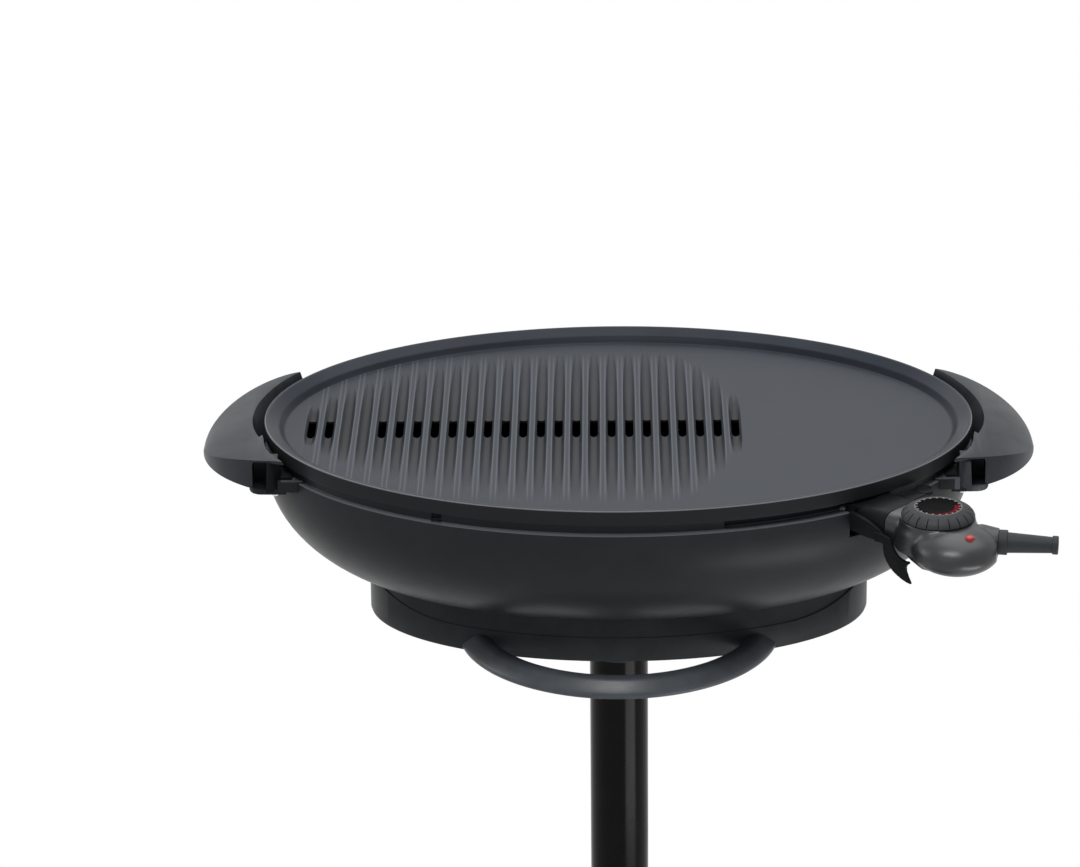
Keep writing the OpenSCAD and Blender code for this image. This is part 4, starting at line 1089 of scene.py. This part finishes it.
def controller_chin():
    """The controller's square face, which swells and then dies away under the egg."""
    chin = sawn("controller_skin", hood_section(low=-32.5, foot=4.5), "X", -4, 3)
    last = 3
    # How far out each ring is, its drift sideways, its width and height against the last, how far it sinks.
    for out, drift, wide, tall, sink in (
        (11, -0.3, 1.0, 1.12, 0), (24, -2.2, 1.1, 1.17, 0.3), (37, -3.2, 1.1, 1.02, 0.6),
        (48, -2.5, 0.95, 0.9, 1.5),
    ):
        pick(chin, lambda face: abs(face.calc_center_median().x - last * MM) < 1e-5
             and abs(face.normal.x) > 0.9, "FACE")
        step = ((out - last) * MM, drift * MM, -sink * MM)
        bpy.ops.mesh.extrude_region_move(TRANSFORM_OT_translate={"value": step})
        bpy.ops.transform.resize(value=(1, wide, tall), center_override=at(out, drift, HOOD_TOP))
        last = out
    return tidy_mesh(chin)


def controller_body():
    """The controller's outer skin, all forms flowing into each other."""
    pedestal = rounds((30, -32), (28, -20), (25.8, -15), (25.2, -11))
    body = together("controller_skin", [
        controller_chin(),
        egg("egg", (50.7, -7.5, -27), (30.2, 30.2, 16.2), 0.97),
        egg("saddle", (36, -4.5, -26), (27, 25.5, 12.8)),
        drawn("pedestal", pedestal, 64, (DIAL_OUT, 0)),
        egg("tail_root", (60, 11, -25.5), (15, 13, 11.5), 0.9),
        turned("tail", [(-16, 12), (-9, 10.6), (-4, 9.6), (2, 9.0)]),
    ])
    hold(body)
    body.data.remesh_voxel_size = 0.8 * MM
    body.data.use_remesh_preserve_volume = False
    bpy.ops.object.voxel_remesh()
    apply_modifier(body, "SMOOTH", factor=0.5, iterations=30)
    carve(body, block("face_cut", (-20, -60, -80), (0, 60, 20)))
    carve(body, drawn("seat_cut", rounds((40, HOOD_TOP), (40, 20)), 96, (DIAL_OUT, 0)))
    return carve(body, turned("collar_cut", [(-3, 30), (20, 30)]))


def build_controller():
    """The two shells, parted at their seam, and the cord's strain relief."""
    skin = controller_body()
    lower = copied(skin, "controller_shell_lower")
    for shell, keep_low in ((skin, False), (lower, True)):
        edit_all(shell)
        bpy.ops.mesh.bisect(
            plane_co=at(0, 0, SEAM_Z), plane_no=(0, 0, 1), use_fill=True,
            clear_inner=not keep_low, clear_outer=keep_low)
        tidy_mesh(shell)
        ease(shell, 0.35, 2, 48)
        carve(shell, block("nose_cut", (-1, -14.1, -30.1), (9.1, 14.1, -18.9)))
        to_plug(shell)
    skin.name = skin.data.name = "controller_shell_upper"
    done(skin, "controller", "controller_plastic", "controller_upper_shell", smooth=40)
    done(lower, "controller", "controller_plastic", "controller_lower_shell", smooth=40)
    relief = turned("cord_relief", [
        (-11, 5.3), (-3, 5.3), (-3, 8.2), (-2.7, 8.5), (2.6, 8.5), (3, 8.1), (3, 7.0), (3.2, 7.0),
        (32.6, 5.5), (33, 5.5), (33, 6.0), (33.4, 6.35), (36.5, 6.35), (37, 5.9), (37, 3.4), (20, 3.3)], 72)
    done(to_plug(relief), "controller", "relief_rubber", "strain_relief")


# Side outlines, from the plug's face outwards: the hooked guard, and the ear that it hangs from.
CLAW = [
    (-5, -24), (1.5, -24.4), (6.5, -25.4), (8.6, -27.2), (9.9, -30.6), (11.6, -33.9), (14.2, -36.6),
    (17.6, -38.3), (21.2, -39.0), (23.6, -38.6), (24.2, -40.1), (22.4, -41.2), (21.4, -43.4),
    (21.7, -46.3), (23.3, -50), (25.9, -54.4), (22.4, -53.9), (18.4, -52.6), (14.2, -50.7),
    (10.9, -48.7), (8, -46.2), (5.2, -42.7), (3.2, -38.7), (2.3, -34.5), (2.1, -30.8), (-5, -30.9)]
LUG = [
    (-28, -15.6), (-19.5, -17.3), (-11.4, -19.2), (-4, -22.2), (0.4, -24.8), (1.6, -27.6), (1.2, -30.6),
    (-6, -31.1), (-14, -30.9), (-20, -30.1), (-24.6, -28.9), (-27, -26.6), (-28, -22)]


def build_hood():
    """The hood over the terminals: a barrel that ends at the controller, with ears and hooked guards."""
    hood = sawn("terminal_hood_shell", hood_section(), "X", -23.6, -0.5)
    carve(hood, sawn("hood_inside", hood_section(17.2, -14.4, -40, 5.5), "X", -30, 5))
    ease(hood, 0.5, 3, 50)
    carve(hood, block("hood_roof", (-38, -17.5, -15.5), (-22.5, 17.5, -13.05)), way="UNION")
    for side in (-1, 1):
        (wall_in, wall_out), (lug_in, lug_out), (claw_in, claw_out) = (
            sorted((side * near, side * far)) for near, far in ((15.2, 17.5), (18.9, 22.4), (22.0, 24.6)))
        wall = block("hood_side", (-35, wall_in, -32), (-22.5, wall_out, -14))
        lug = ease(sawn("hood_lug", LUG, "Y", lug_in, lug_out), 0.55, 3, 40)
        claw = ease(sawn("hood_claw", CLAW, "Y", claw_in, claw_out), 0.6, 3, 40)
        carve(hood, wall, lug, claw, way="UNION")
    disc = rounds((7, -15.5), (7, -13.6), (6.4, -13.1), (4.6, -13.1), (4.2, -13.7))
    neck = ease(block("hood_ear_neck", (-15.5, 17, -15.5), (-3.5, 38, -13.8)), 0.4)
    carve(hood, neck, drawn("hood_ear", disc, 48, (-9, 38)), way="UNION")
    for side in (-12, 12):
        hole = rounds((1.6, -18), (1.6, -12))
        carve(hood, drawn("hood_screw_hole", hole, 24, (-34, side)))
    done(to_plug(hood), "plate", "hood_plastic", "terminal_hood", smooth=40)


def grip_notches():
    """Cutters for the notches around the dial's side, each one leaning with the dome."""
    count = 20
    notch = sawn("dial_notch", [(-0.42, -14), (0.42, -14), (0.42, 0), (-0.42, 0)], "X", 0, 8)
    edit_all(notch)
    spin(-32, at(0, 0, -10), "Y")
    move(23.9, 0, -1.4)
    others = [
        copied(notch, "dial_notch", turn=360 / count * k, about=at(0, 0, 0)) for k in range(1, count)]
    notches = together("dial_notches", [notch] + others)
    edit_all(notches)
    move(DIAL_OUT, 0, 0)
    clear()
    return notches


def build_dial():
    """The temperature dial: a domed knob with grip notches, a flat ring for its marks, and a cap."""
    foot = -11.6
    dome = rounds(
        (24.5, foot), (25.0, foot + 0.5), (24.95, foot + 1.7), (24.3, foot + 3.2), (22.8, foot + 4.9),
        (20.4, foot + 6.4), (18.0, foot + 7.3), (17.0, foot + 7.65), (16.4, foot + 7.7),
        (13.7, foot + 7.7), (13.4, foot + 7.45), (13.4, foot + 6.7))
    knob = drawn("dial_knob", dome, 160, (DIAL_OUT, 0))
    carve(knob, grip_notches())
    carve(knob, drawn("dial_bore", rounds((3.1, foot - 1), (3.1, foot + 4)), 32, (DIAL_OUT, 0)))
    done(to_plug(knob), "dial", "dial_plastic", "dial", smooth=32)
    disc = rounds((13.2, -4.9), (13.2, -4.3), (12.9, -4.05), (11.9, -4.0), (11.5, -4.15), (4, -4.2))
    done(to_plug(drawn("dial_cap_disc", disc, 96, (DIAL_OUT, 0))), "dial", "cap_gloss", "dial_cap")


def build_lens():
    """The pilot lamp's domed lens."""
    dome = rounds(
        (3.3, -18.3), (3.3, -13.2), (3.05, -12.7), (2.4, -12.35), (1.5, -12.15), (0.6, -12.1))
    lens = to_plug(drawn("pilot_lens_dome", dome, 48, (65.5, -13)))
    done(lens, "controller", "lens_red", "pilot_lens", smooth=60)


build_controller()
build_hood()
build_dial()
build_lens()
